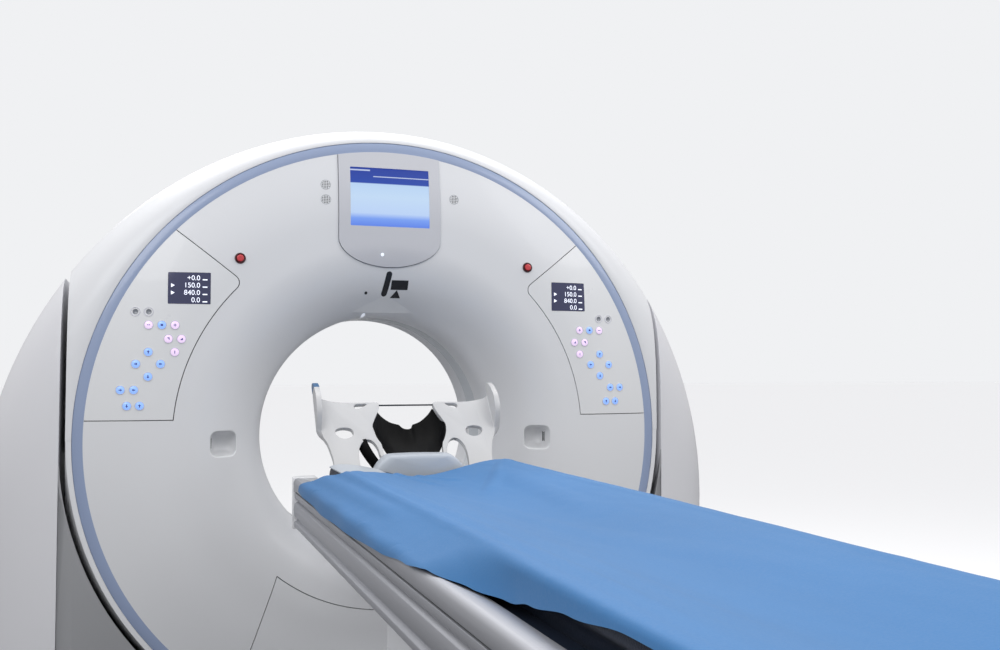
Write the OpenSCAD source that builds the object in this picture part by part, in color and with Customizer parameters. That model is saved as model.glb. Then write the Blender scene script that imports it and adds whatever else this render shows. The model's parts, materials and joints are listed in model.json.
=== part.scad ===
// Tilting CT scanner: gantry with its rotor, and the couch that slides into it.
// +X is to the right of someone at the couch, +Y runs along the bore away from the couch, +Z is up.
// The origin is on the floor under the isocentre, in the middle of the gantry's four anchor holes.

/* [Bore and drum] */
// Height of the isocentre over the floor
iso_z = 1065; // [1062:1:1100]
// Radius of the patient bore
bore_r = 390; // [360:1:400]
// Half length of the straight part of the bore
throat_y = 150; // [130:1:170]
// Radius at which the flare meets the face
flare_r = 620; // [600:1:640]
// Distance of the ring plane from the isocentre
ring_y = 320; // [310:1:330]
// Outer radius of the blue trim ring
ring_r = 950; // [945:1:955]
// Width of the blue trim ring
ring_w = 31; // [24:1:36]
// How far the face stands out in front of the ring plane
crown_h = 28; // [20:1:32]
// Wall of the moulded covers
cover_t = 6; // [4:0.5:8]
// Half width of the patient side of the X-ray window
window_y = 55; // [45:1:65]

/* [Outer shell] */
// How far the side covers stand out beyond the blue ring
side_out = 275; // [265:1:290]
// How far the shell's widest height lies below the isocentre
waist_low = 265; // [200:1:300]
// How far the shell's crest stands out over the blue ring
crest_out = 65; // [55:1:80]
// Depth over which the shell rounds over
round_y = 200; // [180:1:220]
// How far the tilting drum reaches sideways beyond the blue ring
drum_out = 17; // [12:1:19]
// Running gap between the drum and the fixed covers
tilt_gap = 18; // [14:1:19]

/* [Face details] */
// Half width of the display bezel
bezel_x = 167; // [160:1:175]
// Width and height of the display's glass
screen = [260, 192]; // [180:1:270]
// Height of the bottom edge of the glass over the isocentre
screen_z = 672; // [665:1:685]
// Depth of the control panels from the blue ring inwards
panel_w = 251; // [243:1:259]
// Seam round the panels and the bezel
seam = 2.5; // [1:0.5:4]
// Height of the control panels' lower edge over the isocentre
panel_low = 60; // [50:1:70]
// Diameter of a key
key_d = 28; // [22:1:32]
// Pitch of the keys
key_pitch = 38; // [36:1:39]
// Width and height of a readout
readout = [125, 97]; // [90:1:128]
// Radius of an emergency stop button
stop_r = 11; // [9:0.5:13]
// Travel of an emergency stop button
stop_travel = 4; // [3:0.5:5]
// Width of a grip recess
grip_w = 84; // [76:1:90]

/* [Rotor] */
// Outer radius of the rotor
rotor_r = 840; // [820:1:850]
// Thickness of the rotor's plate
rotor_t = 35; // [30:1:40]
// Radius of the X-ray tube's housing
tube_r = 105; // [95:1:105]
// Radius of the tilt trunnions
trunnion_r = 55; // [50:1:58]
// Module of the tilt gears
gear_m = 5; // [4.5:0.1:5.2]

/* [Couch] */
// Half width over the side rails
couch_x = 332; // [325:1:340]
// End of the couch nearest the gantry
couch_front = -495; // [-520:1:-490]
// End of the couch away from the gantry
couch_rear = -2900; // [-3000:1:-2880]
// Top of the side rails below the isocentre
rail_top = -105; // [-110:1:-100]
// Depth of the side rails
rail_h = 147; // [140:1:155]
// Half width of the tabletop
top_x = 258; // [250:1:259]
// Thickness of the tabletop
top_t = 36; // [30:1:40]
// Half width of the mattress at its top
pad_x = 262; // [250:1:266]
// Thickness of the mattress
pad_t = 80; // [70:1:85]
// How far the mattress's middle lies below its sides
pad_hollow = 38; // [0:1:44]
// Thickness of the paper-like sheet
sheet_t = 5; // [3:0.5:6]
// Half width of the lifting column's lowest shroud
shroud_x = 205; // [190:1:215]
// Half length of the lifting column's lowest shroud
shroud_y = 430; // [380:1:450]
// Middle of the lifting column
column_y = -1750; // [-1800:1:-1700]

/* [Hidden] */
$fn = 96;
seat = 0.3;              // gap between parts that only touch
ring_in = ring_r - ring_w;
shell_x = ring_r + side_out;
shell_z = ring_r + crest_out;
drum_x = ring_r + drum_out;
panel_r = ring_in - panel_w;
face_y = ring_y + crown_h;
crown_r = 700;           // radius of the face's foremost circle
screen_w = screen[0];
screen_h = screen[1];
rim_step = 15;           // white rim outside the blue ring
cup_r = sqrt(pow(ring_r + rim_step + tilt_gap + 2, 2) + pow(ring_y, 2));
drum_r = sqrt(pow(ring_r + rim_step, 2) + pow(ring_y, 2));
wall_x = drum_x + tilt_gap;       // inner wall of a side cover
panel_hi = panel_r * [0.6946, 0.7216];   // upper inner corner of a control panel
panel_dir = [193, 152] / norm([193, 152]);
stop_at = (flare_r + 108.5) * [0.6479, 0.7618];
grip_at = [flare_r - 105, -17];
grip_h = 82;
grip_depth = 62;
grip_rim = 18;                    // flange round a grip recess, flush with the face
grip_round = 22;
lower_r = 555;                    // inner edge of the lower front cover
readout_at = panel_hi + [95, -71.5];      // lower inner corner of the right readout
key_home = [panel_r + 70, 228];   // middle of the four-way keys

// rotor stations along the bore
plate_y = 60;
frame_y = 218;
frame_t = 30;
hub_r = [bore_r + 65, bore_r + 88];
race_r = [hub_r[1], hub_r[1] + 17, hub_r[1] + 42];
slip_r = hub_r[1] + 22;
magnet_r = race_r[2] + 10;
stator_r = [magnet_r + 1, magnet_r + 42];

// frame on the floor
tower_x = wall_x + 35;
tower_t = 30;
skid_x = [tower_x - 25, tower_x + 68];   // inner and outer side of a skid
skid_y = 215;
skid_h = 60;
beam_y = 180;                     // cross beams between the skids
beam_half = 30;
beam_h = 32;
anchor_at = [tower_x + 52, 150];
anchor_r = 11;
level_y = 190;                    // levelling screws, beside the anchors
level_r = 8;
bearing_r = 85;                   // outside of a trunnion bearing
motor_r = 45;
arm_x = drum_x - 87;              // inner side of the tilt frame's arms

// tilt gear
sector_teeth = 60;
pinion_teeth = 18;
gear_gap = gear_m * (sector_teeth + pinion_teeth) / 2;
gear_x = tower_x + 54;
gear_w = 25;

// couch heights and stations
rail_low = rail_top - rail_h;
deck_z = rail_low + 80;
top_low = deck_z + 4;
pad_low = top_low + top_t;
pad_top = pad_low + pad_t;
pad_foot = top_x - 18;            // half width of the mattress between the rails
top_front = -690;
pad_front = -760;
couch_gap = couch_x - 70;         // inner face of a side rail
lean = 35.75;                     // lean of the arm support towards the gantry
support_foot = [-689, -65];       // y and z of the support's datum
bar_z = 104;                      // rod between the support's wings
support_t = 16;
fin_x = [262, 278];               // inner and outer side of a wing's turned edge
// Outline of that edge, as distance in front of the support's plane and height at that plane
fin_line = [[-8, 52], [-8, 166], [8, 162], [30, 148], [52, 124], [60, 98], [52, 66], [30, 46], [8, 46]];
foot_z = pad_low + seat + support_t / 2 * sin(lean);
holder_at = [-667, -44];          // y and z of the head holder's near end
holder_rise = 28;
stage_z = [30, 340];              // lowest stage of the column
mid_z = [262, 575];
frame_low = iso_z + rail_low;
upper_low = 503;                  // lower edge of the top stage
couch_base_y = [-1180, -2480];
base_x = 310;
duct = [90, 40];                  // half width and height of the cable duct
tube_half = [80, 72, 64];         // telescopic guide inside the stages
tube_wall = 7.7;
stage_wall = 4;
stage_step = 10;                  // how much wider each stage is than the one below
frame_wall = 5;
belt_x = 80;
belt_w = 16;
belt_t = 4;
pulley_r = 17;
sheet_rear = couch_rear + 62;
lip_nose = 86;                    // reach of the bore's ledge in front of the throat
lip_t = 13;

module at_iso() { translate([0, 0, iso_z]) children(); }
module both_x() { for (s = [0, 1]) mirror([s, 0, 0]) children(); }
module about_y() { rotate([-90, 0, 0]) children(); }
module along_x(x0, x1) { translate([x0, 0, 0]) rotate([90, 0, 90]) linear_extrude(x1 - x0) children(); }
module along_y(y0, y1) { translate([0, y1, 0]) rotate([90, 0, 0]) linear_extrude(y1 - y0) children(); }
module ring(r0, r1, y0, y1) {
  about_y() translate([0, 0, y0]) difference() {
    cylinder(r = r1, h = y1 - y0);
    translate([0, 0, -1]) cylinder(r = r0, h = y1 - y0 + 2);
  }
}
module block(p, q) { translate(p) cube(q - p); }
module rod_x(x0, x1, r) { translate([x0, 0, 0]) rotate([0, 90, 0]) cylinder(r = r, h = x1 - x0); }

// Face of the drum, as radius and place along the bore. t moves it back into the drum.
function flare(t) = [for (a = [0:7.5:90])
  [flare_r - (flare_r - bore_r - t) * cos(a), -throat_y - (face_y - throat_y - t) * sin(a)]];
function crown(t) = [for (k = [0:6])
  [crown_r + (ring_in - crown_r) * k / 6, -ring_y - crown_h * cos(15 * k) + t]];
function face_line(t) = concat(flare(t), crown(t));
function reversed(v) = [for (i = [len(v) - 1:-1:0]) v[i]];

module face_shell() {
  about_y() rotate_extrude() polygon(concat(
    [[bore_r, -window_y]], face_line(0), reversed(face_line(cover_t)), [[bore_r + cover_t, -window_y]]));
}
// A layer over the face, from t0 to t1 behind its surface
module skin(t0, t1) {
  about_y() rotate_extrude() polygon(concat(face_line(t0), reversed(face_line(t1))));
}
// The space t behind the face, down to depth back
module behind_face(back, t = 0) {
  about_y() rotate_extrude($fn = 288) polygon(concat(face_line(t), [[ring_in, back], [bore_r + t, back]]));
}

// Outlines seen from the couch, as x and z about the isocentre
module bezel_2d(grow) {
  low = screen_z - 40;
  intersection() {
    circle(r = ring_in - seat);
    polygon(concat(
      [[bezel_x + grow, ring_r], [-bezel_x - grow, ring_r], [-bezel_x - grow, low]],
      [for (a = [187.5:7.5:352.5]) [(bezel_x + grow) * cos(a), low + (90 + grow) * sin(a)]],
      [[bezel_x + grow, low]]));
  }
}
module panel_2d(grow) {
  up = [-panel_dir[1], panel_dir[0]];
  fillet = 24;
  off = panel_hi * up - fillet;
  mid = off * up + sqrt(pow(panel_r + fillet, 2) - pow(off, 2)) * panel_dir;
  difference() {
    intersection() {
      circle(r = ring_in - seat);
      polygon([[300, panel_low - grow], [1000, panel_low - grow],
        panel_hi + 700 * panel_dir + grow * up, panel_hi - 200 * panel_dir + grow * up]);
    }
    circle(r = panel_r - grow);
    difference() {
      polygon([mid, mid * (panel_r - grow) / norm(mid), 2 * panel_hi - mid, mid + (fillet + grow) * up]);
      translate(mid) circle(r = fillet + grow);
    }
  }
}
module lower_2d(grow) {
  intersection() {
    difference() {
      circle(r = ring_in - seat);
      circle(r = lower_r - grow);
    }
    polygon([[-350 - grow, -430], [-535 - grow, -940], [535 + grow, -940], [350 + grow, -430]]);
  }
}
module rounded_2d(w, h, r) {
  union() {
    translate([-w / 2 + r, -h / 2]) square([w - 2 * r, h]);
    translate([-w / 2, -h / 2 + r]) square([w, h - 2 * r]);
    for (i = [-1, 1], j = [-1, 1]) translate([i * (w / 2 - r), j * (h / 2 - r)]) circle(r = r);
  }
}

// Outer shell of the gantry, t inside its surface
function outline(a, b, waist) = concat(
  [for (k = [0:24]) [a * cos(7.5 * k), waist + (b - waist) * sin(7.5 * k)]],
  [[-a + 20, 8 - iso_z], [a - 20, 8 - iso_z]]);
module shell_body(t, drop) {
  hull() for (s = [-1, 1], k = [0:4]) {
    g = sin(22.5 * k);
    translate([0, s * (ring_y - t - round_y * (1 - cos(22.5 * k))) + 0.25, -drop]) rotate([90, 0, 0])
      linear_extrude(0.5)
        polygon(outline(ring_r - t + (shell_x - ring_r) * g, ring_r - t + drop + (shell_z - ring_r) * g,
          -waist_low * g));
  }
}

// Fixed frame and covers

module base_frame() color("dimgray") {
  foot_x = 600;
  difference() {
    union() {
      both_x() block([skid_x[0], -skid_y, 0], [skid_x[1], skid_y, skid_h]);
      for (s = [-1, 1])
        block([-skid_x[0] - 5, s * beam_y - beam_half, 0], [skid_x[0] + 5, s * beam_y + beam_half, beam_h]);
      for (s = [0, 1], x = [-foot_x, foot_x]) mirror([0, s, 0])
        block([x - beam_half, beam_y + 20, 0], [x + beam_half, ring_y - cover_t - seat, beam_h]);
    }
    both_x() for (s = [-1, 1]) {
      translate([anchor_at[0], s * anchor_at[1], -1]) cylinder(r = anchor_r, h = skid_h + 2);
      translate([anchor_at[0], s * level_y, -1]) cylinder(r = level_r, h = skid_h + 2);
    }
  }
}
module levelling_screws() color("silver") both_x() for (s = [-1, 1])
  translate([anchor_at[0], s * level_y, 0]) {
  cylinder(r = level_r, h = skid_h + 2);
  translate([0, 0, skid_h]) cylinder(r = level_r + 6, h = 9, $fn = 6);
}
module tilt_towers() color("slategray") at_iso() both_x() difference() {
  along_x(tower_x, tower_x + tower_t)
    polygon([[5 - skid_y, skid_h - iso_z], [skid_y - 5, skid_h - iso_z], [bearing_r + 25, 40],
      [bearing_r - 15, bearing_r + 25], [15 - bearing_r, bearing_r + 25], [-bearing_r - 25, 40]]);
  rod_x(tower_x - 1, tower_x + tower_t + 1, bearing_r);
  translate([0, 0, -gear_gap]) rod_x(tower_x - 1, tower_x + tower_t + 1, motor_r);
  along_x(tower_x - 1, tower_x + tower_t + 1)
    polygon([[-130, 2 * skid_h - iso_z], [130, 2 * skid_h - iso_z], [bearing_r, -300], [-bearing_r, -300]]);
}
module tilt_bearings() color("gainsboro") at_iso() both_x() difference() {
  rod_x(tower_x - 5, tower_x + tower_t + 5, bearing_r);
  rod_x(tower_x - 6, tower_x + tower_t + 6, trunnion_r + 0.05);
}
module tilt_motor() color("darkslategray") at_iso() translate([0, 0, -gear_gap]) {
  rod_x(wall_x + 9, gear_x - 3, motor_r);
  rod_x(tower_x + tower_t, tower_x + tower_t + 8, motor_r + 17);
}

function involute_deg(r, base) = let (t = sqrt(max(0, pow(r / base, 2) - 1))) t * 180 / PI - atan(t);
function tooth(teeth, slack) = let (
    pitch = gear_m * teeth / 2, base = pitch * cos(20), top = pitch + gear_m, low = pitch - 1.25 * gear_m,
    half = 90 / teeth + involute_deg(pitch, base) - slack / pitch * 180 / PI,
    up = [for (k = [0:5]) let (r = max(base, low) + (top - max(base, low)) * k / 5)
      [r, involute_deg(r, base) - half]])
  concat([[low, -half]], up, [for (p = reversed(up)) [p[0], -p[1]]], [[low, half]]);
function gear_points(teeth, first, last, slack) = [for (i = [first:last], p = tooth(teeth, slack))
  let (a = p[1] + 360 / teeth * i) p[0] * [cos(a), sin(a)]];

module tilt_pinion() color("goldenrod") at_iso() translate([0, 0, -gear_gap]) {
  along_x(gear_x, gear_x + gear_w) rotate(90 - 180 / pinion_teeth)
    polygon(gear_points(pinion_teeth, 0, pinion_teeth - 1, 0.2));
  rod_x(gear_x - 3 + seat, gear_x + gear_w + 6, 16);
}
module tilt_sector() color("darkgoldenrod") at_iso() difference() {
  union() {
    along_x(gear_x, gear_x + gear_w) rotate(-90)
      polygon(concat([[0, 0]], gear_points(sector_teeth, -9, 9, 0.2)));
    rod_x(gear_x, gear_x + gear_w, 82);
  }
  rod_x(gear_x - 1, gear_x + gear_w + 1, trunnion_r);
}

module side_cover() {
  difference() {
    at_iso() difference() {
      intersection() {
        shell_body(0, 0);
        block([wall_x, -400, -iso_z], [shell_x + 50, 400, shell_z]);
      }
      intersection() {
        shell_body(cover_t, 20);
        block([wall_x + cover_t, -400, -iso_z - 40], [shell_x + 50, 400, shell_z]);
      }
      rod_x(wall_x - 5, wall_x + 20, trunnion_r + 7);
    }
    notch = beam_half + 2;
    for (y = [-beam_y, beam_y]) block([wall_x - 5, y - notch, -5], [wall_x + 20, y + notch, beam_h + 2]);
  }
}
module side_cover_left() color("whitesmoke") mirror([1, 0, 0]) side_cover();
module side_cover_right() color("whitesmoke") side_cover();
module lower_surrounds() color("gainsboro") for (s = [0, 1]) mirror([0, s, 0]) at_iso() {
  reach = wall_x - seat;
  low = 8 - iso_z;
  difference() {
    union() {
      intersection() {
        difference() {
          shell_body(0, 0);
          shell_body(cover_t, 20);
        }
        block([-reach, -ring_y - 1, low], [reach, -ring_y + 30, -70]);
      }
      intersection() {
        difference() {
          sphere(r = cup_r + cover_t);
          sphere(r = cup_r);
        }
        block([-reach, -ring_y + 2, low], [reach, -ring_y + 70, -70]);
      }
    }
    sphere(r = cup_r);
  }
}
module cable_duct() color("lightgray") difference() {
  block([-duct[0], couch_base_y[0] + seat, 0], [duct[0], -ring_y - seat, duct[1]]);
  block([-duct[0] + cover_t, couch_base_y[0] - 1, -1], [duct[0] - cover_t, -ring_y + 1, duct[1] - cover_t]);
}

// Tilting drum

module tilt_frame() color("slategray") at_iso() difference() {
  union() {
    ring(race_r[2], ring_in + 5, frame_y, frame_y + frame_t);
    ring(ring_in - 20, ring_in + 10, -ring_y + 20 + seat, ring_y - 20 - seat);
    both_x() difference() {
      block([arm_x, -75, -95], [drum_x - cover_t - seat, frame_y + frame_t, 95]);
      block([arm_x + 12, -60, -80], [arm_x + 70, frame_y, 80]);
    }
    both_x() rod_x(arm_x + 20, gear_x + gear_w + 8, trunnion_r);
  }
  both_x() rod_x(arm_x - 30, gear_x + gear_w + 20, 20);
  for (a = [45:90:315]) rotate([0, a, 0]) translate([(race_r[2] + ring_in) / 2, 0, 0])
    about_y() cylinder(r = 95, h = 400);
}
module bearing_outer_race() color("silver") at_iso()
  ring(race_r[1] + 0.05, race_r[2], frame_y - 6, frame_y + frame_t);
module drive_stator() color("darkslateblue") at_iso()
  ring(stator_r[0], stator_r[1], frame_y + frame_t, frame_y + frame_t + 24);
module front_cover() color("whitesmoke") at_iso() difference() {
  face_shell();
  along_y(-400, -ring_y + 40) bezel_2d(seam);
  both_x() along_y(-400, -ring_y + 40) panel_2d(seam);
  along_y(-400, -ring_y + 40) lower_2d(seam);
  both_x() grip_block(grip_rim + seat);
  both_x() along_y(-400, -ring_y + 40) translate(stop_at) circle(r = stop_r + 6);
}
module rear_cover() color("gainsboro") at_iso() mirror([0, 1, 0]) face_shell();
module trunnion_cut() { both_x() rod_x(drum_x - 30, drum_x + 30, trunnion_r + 1); }
module top_cover() color("whitesmoke") at_iso() difference() {
  intersection() {
    shell_body(0, 0);
    block([-drum_x, -400, 0], [drum_x, 400, shell_z + 10]);
  }
  intersection() {
    shell_body(cover_t, 0);
    block([-drum_x + cover_t, -400, -10], [drum_x - cover_t, 400, shell_z + 10]);
  }
  about_y() translate([0, 0, -400]) cylinder(r = ring_r + seat, h = 800, $fn = 288);
  trunnion_cut();
}
module drum_skirt() color("gainsboro") at_iso() difference() {
  intersection() {
    sphere(r = drum_r, $fn = 288);
    block([-drum_x, -ring_y, -drum_r - 10], [drum_x, ring_y, -seat]);
  }
  intersection() {
    sphere(r = drum_r - cover_t, $fn = 288);
    block([-drum_x + cover_t, -ring_y + cover_t, -drum_r - 10], [drum_x - cover_t, ring_y - cover_t, 10]);
  }
  about_y() translate([0, 0, -400]) cylinder(r = ring_r + seat, h = 800, $fn = 288);
  trunnion_cut();
}
module trim_rings() color("lightsteelblue") at_iso() for (s = [0, 1]) mirror([0, s, 0])
  about_y() rotate_extrude() polygon([[ring_in, -ring_y], [ring_r - 3, -ring_y], [ring_r, -ring_y + 3],
    [ring_r, -ring_y + 20], [ring_in, -ring_y + 20]]);
module bore_window() color("lightcyan") at_iso() ring(bore_r, bore_r + 3, -window_y + seat, window_y - seat);
module bore_lip() color("whitesmoke") at_iso() difference() {
  first = flare(0)[6] + [0.1, -0.5];      // where the ledge leaves the flare
  low = bore_r + 9;
  top = first[0] + lip_t;
  along_x(-158, 158) polygon([[first[1], first[0]], [-throat_y - lip_nose, low], [-throat_y - 20, low],
    [-throat_y - 20, top], [first[1], top]]);
  behind_face(-100);
}
module display_bezel() color("lightgray") at_iso() difference() {
  intersection() {
    skin(-5, cover_t);
    along_y(-400, -ring_y + 40) bezel_2d(0);
  }
  along_y(-400, -ring_y + 40) translate([0, screen_z + screen_h / 2])
    square([screen_w, screen_h], center = true);
}
module main_display() color("cornflowerblue") at_iso() intersection() {
  skin(-3, cover_t);
  along_y(-400, -ring_y + 40) translate([0, screen_z + screen_h / 2])
    square([screen_w - 2 * seat, screen_h - 2 * seat], center = true);
}
module lower_front_cover() color("whitesmoke") at_iso() intersection() {
  skin(0, cover_t);
  along_y(-400, -ring_y + 40) lower_2d(0);
}
module control_panels() color("white") at_iso() both_x() difference() {
  intersection() {
    skin(0, cover_t);
    along_y(-400, -ring_y + 40) panel_2d(0);
  }
  along_y(-400, -ring_y + 40) readout_2d();
}
module readout_2d() { translate(readout_at) square(readout); }
module readouts() color("midnightblue") at_iso() both_x() intersection() {
  skin(-1, cover_t);
  along_y(-400, -ring_y + 40) translate([seat, seat]) translate(readout_at)
    square([readout[0] - 2 * seat, readout[1] - 2 * seat]);
}
// Keys about the middle of the four-way set, in key pitches, and in millimetres for the lower pairs
key_grid = [[0, 4.15], [1, 4.15], [-2, 3.1], [-1, 3.1], [0, 3.1], [-2.5, 2], [-1.5, 2], [-2, 0.95],
  [0, 0.95], [-0.93, 0], [0.93, 0], [0, -1], [1.05, -2.05], [2.05, -2.05], [0.6, -3.3], [1.55, -3.3]];
module panel_keys() color("lavender") at_iso() both_x() intersection() {
  skin(-1.4, 0);
  along_y(-400, -ring_y + 40) for (k = key_grid) translate(key_home + key_pitch * k) circle(d = key_d);
}
module stop_collars() color("darkred") at_iso() both_x() translate([stop_at[0], 0, stop_at[1]]) difference() {
  ring(0, stop_r + 6 - seat, -face_y - 4, -face_y + 30);
  ring(0, stop_r + 0.5, -face_y - 10, -face_y + 22);
  ring(0, 6.5, -face_y, -face_y + 40);
}
module stop_button() color("red") at_iso() translate([stop_at[0], 0, stop_at[1]]) {
  ring(0, stop_r, -face_y - 9, -face_y + 15);
  ring(0, 6, -face_y + 15, -face_y + 34);
}
module stop_button_left() { mirror([1, 0, 0]) stop_button(); }
module stop_button_right() { stop_button(); }
module grip_block(grow) {
  along_y(-400, -ring_y + 60) translate(grip_at)
    rounded_2d(grip_w + 2 * grow, grip_h + 2 * grow, grip_round + grow);
}
module grip_recesses() color("gainsboro") at_iso() both_x() difference() {
  cup_end = -face_y + grip_depth + 30;
  union() {
    intersection() {
      skin(0, cover_t);
      grip_block(grip_rim);
    }
    intersection() {
      behind_face(cup_end + 10, cover_t / 2);
      along_y(-400, cup_end) translate(grip_at) rounded_2d(grip_w, grip_h, grip_round);
    }
  }
  along_y(-400, cup_end - 5) translate(grip_at) rounded_2d(grip_w - 8, grip_h - 8, grip_round - 4);
}
module brush_block() color("saddlebrown") at_iso() rotate([0, 160, 0]) {
  block([slip_r + 0.8, 112, -40], [slip_r + 60, 190, 40]);
  block([slip_r + 30, 190, -25], [slip_r + 56, frame_y - seat, 25]);
}

// Rotor

module rotor_ring() color("steelblue") at_iso() difference() {
  union() {
    ring(bore_r + 40, rotor_r, plate_y, plate_y + rotor_t);
    ring(hub_r[0], hub_r[1], plate_y + rotor_t - 5, 270);
  }
  ring(0, hub_r[0], plate_y + rotor_t - 6, 300);
}
module bearing_inner_race() color("silver") at_iso()
  ring(race_r[0], race_r[1], frame_y - 6, frame_y + frame_t);
module drive_magnets() color("gray") at_iso()
  ring(race_r[0], magnet_r, frame_y + frame_t + 2, frame_y + frame_t + 22);
module slip_ring() color("peru") at_iso() about_y() rotate_extrude()
  polygon(concat([[hub_r[1], 110], [slip_r, 110]],
    [for (k = [0:4], p = [[0, 0], [-6, 0], [-6, 8], [0, 8]]) [slip_r + p[0], 116 + 15 * k + p[1]]],
    [[slip_r, 192], [hub_r[1], 192]]));
module xray_tube() color("lightgray") at_iso() translate([0, 0, 640]) difference() {
  union() {
    about_y() translate([0, 0, -225]) cylinder(r = tube_r, h = 225 + plate_y);
    about_y() translate([0, 0, -240]) cylinder(r = tube_r - 30, h = 20);
    block([-60, -200, 60], [60, 20, tube_r + 32]);
  }
  block([-30, -30, -tube_r - 1], [30, 30, -tube_r + 12]);
}
module collimator() color("dimgray") at_iso() difference() {
  block([-110, -70, 440], [110, plate_y, 640 - tube_r - seat]);
  block([-70, -12, 439], [70, 12, 640]);
}
module detector() color("darkseagreen") at_iso() translate([0, 0, 600]) about_y() rotate(65)
  rotate_extrude(angle = 50)
    polygon([[1050, -55], [1062, -60], [1120, -60], [1120, plate_y], [1062, plate_y], [1050, 55]]);
module on_rotor(a) { at_iso() rotate([0, a, 0]) children(); }
module hv_generator() color("seagreen") on_rotor(55) {
  block([-170, -220, 500], [170, plate_y, 760]);
  for (x = [-110, 0, 110]) translate([x, 0, 620]) about_y() translate([0, 0, -235]) cylinder(r = 32, h = 20);
}
module heat_exchanger() color("lightslategray") on_rotor(-55) {
  block([-165, -150, 500], [165, plate_y, 740]);
  for (x = [-150:25:150]) block([x - 3, -205, 510], [x + 3, -149, 730]);
}
module counterweights() color("dimgray") for (a = [-108, 108], k = [0:2]) on_rotor(a) {
  slab = 53;
  half = 80 + 10 * k;
  block([-half, plate_y - slab * (k + 1) + seat, 600], [half, plate_y - slab * k, 790]);
}

// Couch

module couch_base() color("lightgray") difference() {
  translate([0, (couch_base_y[0] + couch_base_y[1]) / 2, 0]) linear_extrude(stage_z[0])
    rounded_2d(2 * base_x, couch_base_y[0] - couch_base_y[1], 40);
  for (x = [40 - base_x, base_x - 40], y = [couch_base_y[0] - 50, couch_base_y[1] + 50])
    translate([x, y, -1]) cylinder(r = 9, h = 2 * stage_z[0]);
}
module box_tube(x, y, t, z0, z1) {
  translate([0, column_y, z0]) linear_extrude(z1 - z0) difference() {
    square([2 * x, 2 * y], center = true);
    square([2 * (x - t), 2 * (y - t)], center = true);
  }
}
module shroud(x, y, t, z0, z1) {
  translate([0, column_y, z0]) linear_extrude(z1 - z0) difference() {
    rounded_2d(2 * x, 2 * y, 40);
    rounded_2d(2 * (x - t), 2 * (y - t), 40 - t);
  }
}
module lower_stage() color("silver") {
  box_tube(tube_half[0], tube_half[0], tube_wall, stage_z[0], stage_z[1]);
  shroud(shroud_x, shroud_y, stage_wall, stage_z[0], stage_z[1]);
  difference() {
    block([-shroud_x + 2, column_y - 30, stage_z[0]], [shroud_x - 2, column_y + 30, stage_z[0] + 6]);
    block([-tube_half[1], column_y - 40, 0], [tube_half[1], column_y + 40, 60]);
  }
}
module lift_motor() color("darkslategray") translate([0, column_y + 80, 0]) {
  block([-55, seat, stage_z[0] + seat], [55, 100, 130]);
  translate([0, 100, 85]) about_y() cylinder(r = 42, h = 150);
}
module mid_stage() color("gainsboro") {
  box_tube(tube_half[1], tube_half[1], tube_wall, mid_z[0] + 8, mid_z[1]);
  shroud(shroud_x + stage_step, shroud_y + stage_step, stage_wall, mid_z[0], mid_z[1]);
  translate([0, column_y, mid_z[1] - stage_wall]) linear_extrude(stage_wall) difference() {
    rounded_2d(2 * (shroud_x + stage_step - 1), 2 * (shroud_y + stage_step - 1), 38);
    square(2 * tube_half[1] - 4, center = true);
  }
}
module upper_stage() color("white") {
  box_tube(tube_half[2], tube_half[2], tube_wall, upper_low, frame_low);
  shroud(shroud_x + 2 * stage_step, shroud_y + 2 * stage_step, stage_wall, upper_low, frame_low);
  translate([0, column_y, frame_low - 6]) linear_extrude(6) difference() {
    rounded_2d(2 * (shroud_x + 2 * stage_step - 1), 2 * (shroud_y + 2 * stage_step - 1), 38);
    square(2 * tube_half[2] - 4, center = true);
  }
}
module couch_frame() color("lightgray") at_iso() {
  difference() {
    block([-couch_gap + seat, couch_rear + 60, rail_low], [couch_gap - seat, couch_front - 65, deck_z]);
    block([-couch_gap + frame_wall, couch_rear + 60 + frame_wall, rail_low + frame_wall],
      [couch_gap - frame_wall, couch_front - 65 - frame_wall, deck_z - frame_wall]);
  }
  both_x() block([190, couch_rear + 80, deck_z - 1], [225, couch_front - 65, top_low - seat]);
}
module slide_drive() color("darkslategray") at_iso() {
  belt_z = rail_low + 20;
  floor_z = rail_low + frame_wall + seat;
  motor_z = rail_low + 40;
  translate([0, couch_front - 150, 0]) {
    translate([0, 0, motor_z]) rod_x(-50, 50, 28);
    block([-30, -30, floor_z], [30, 30, motor_z]);
  }
  block([belt_x - belt_w / 2, couch_rear + 150, belt_z],
    [belt_x + belt_w / 2, couch_front - 150, belt_z + belt_t]);
  for (y = [couch_rear + 150, couch_front - 150]) translate([belt_x, y, 0]) {
    translate([0, 0, belt_z + belt_t + seat + pulley_r]) rod_x(-18, 18, pulley_r);
    for (s = [0, 1]) mirror([s, 0, 0])
      block([belt_w / 2 + 2, -12, floor_z], [belt_w / 2 + 8, 12, belt_z + belt_t + pulley_r]);
  }
}
module side_rails() color("gainsboro") at_iso() both_x() along_y(couch_rear + 60, couch_front - 65)
  polygon([[couch_gap, rail_top - 30], [couch_gap, rail_low], [couch_x - 14, rail_low],
    [couch_x - 4, rail_low + 6], [couch_x - 3, rail_low + 20], [couch_x - 12, rail_low + 27],
    [couch_x - 12, rail_low + 31], [couch_x - 3, rail_low + 38], [couch_x - 1, rail_low + 56],
    [couch_x - 4, rail_low + 74], [couch_x - 14, rail_low + 80], [couch_x - 14, rail_low + 85],
    [couch_x - 4, rail_low + 88], [couch_x - 3, rail_low + 105], [couch_x - 10, rail_low + 106],
    [couch_x - 10, rail_low + 111], [couch_x, rail_low + 112], [couch_x, rail_top - 10],
    [couch_x - 6, rail_top - 2], [couch_x - 14, rail_top], [couch_gap + 12, rail_top - 12]]);
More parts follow.
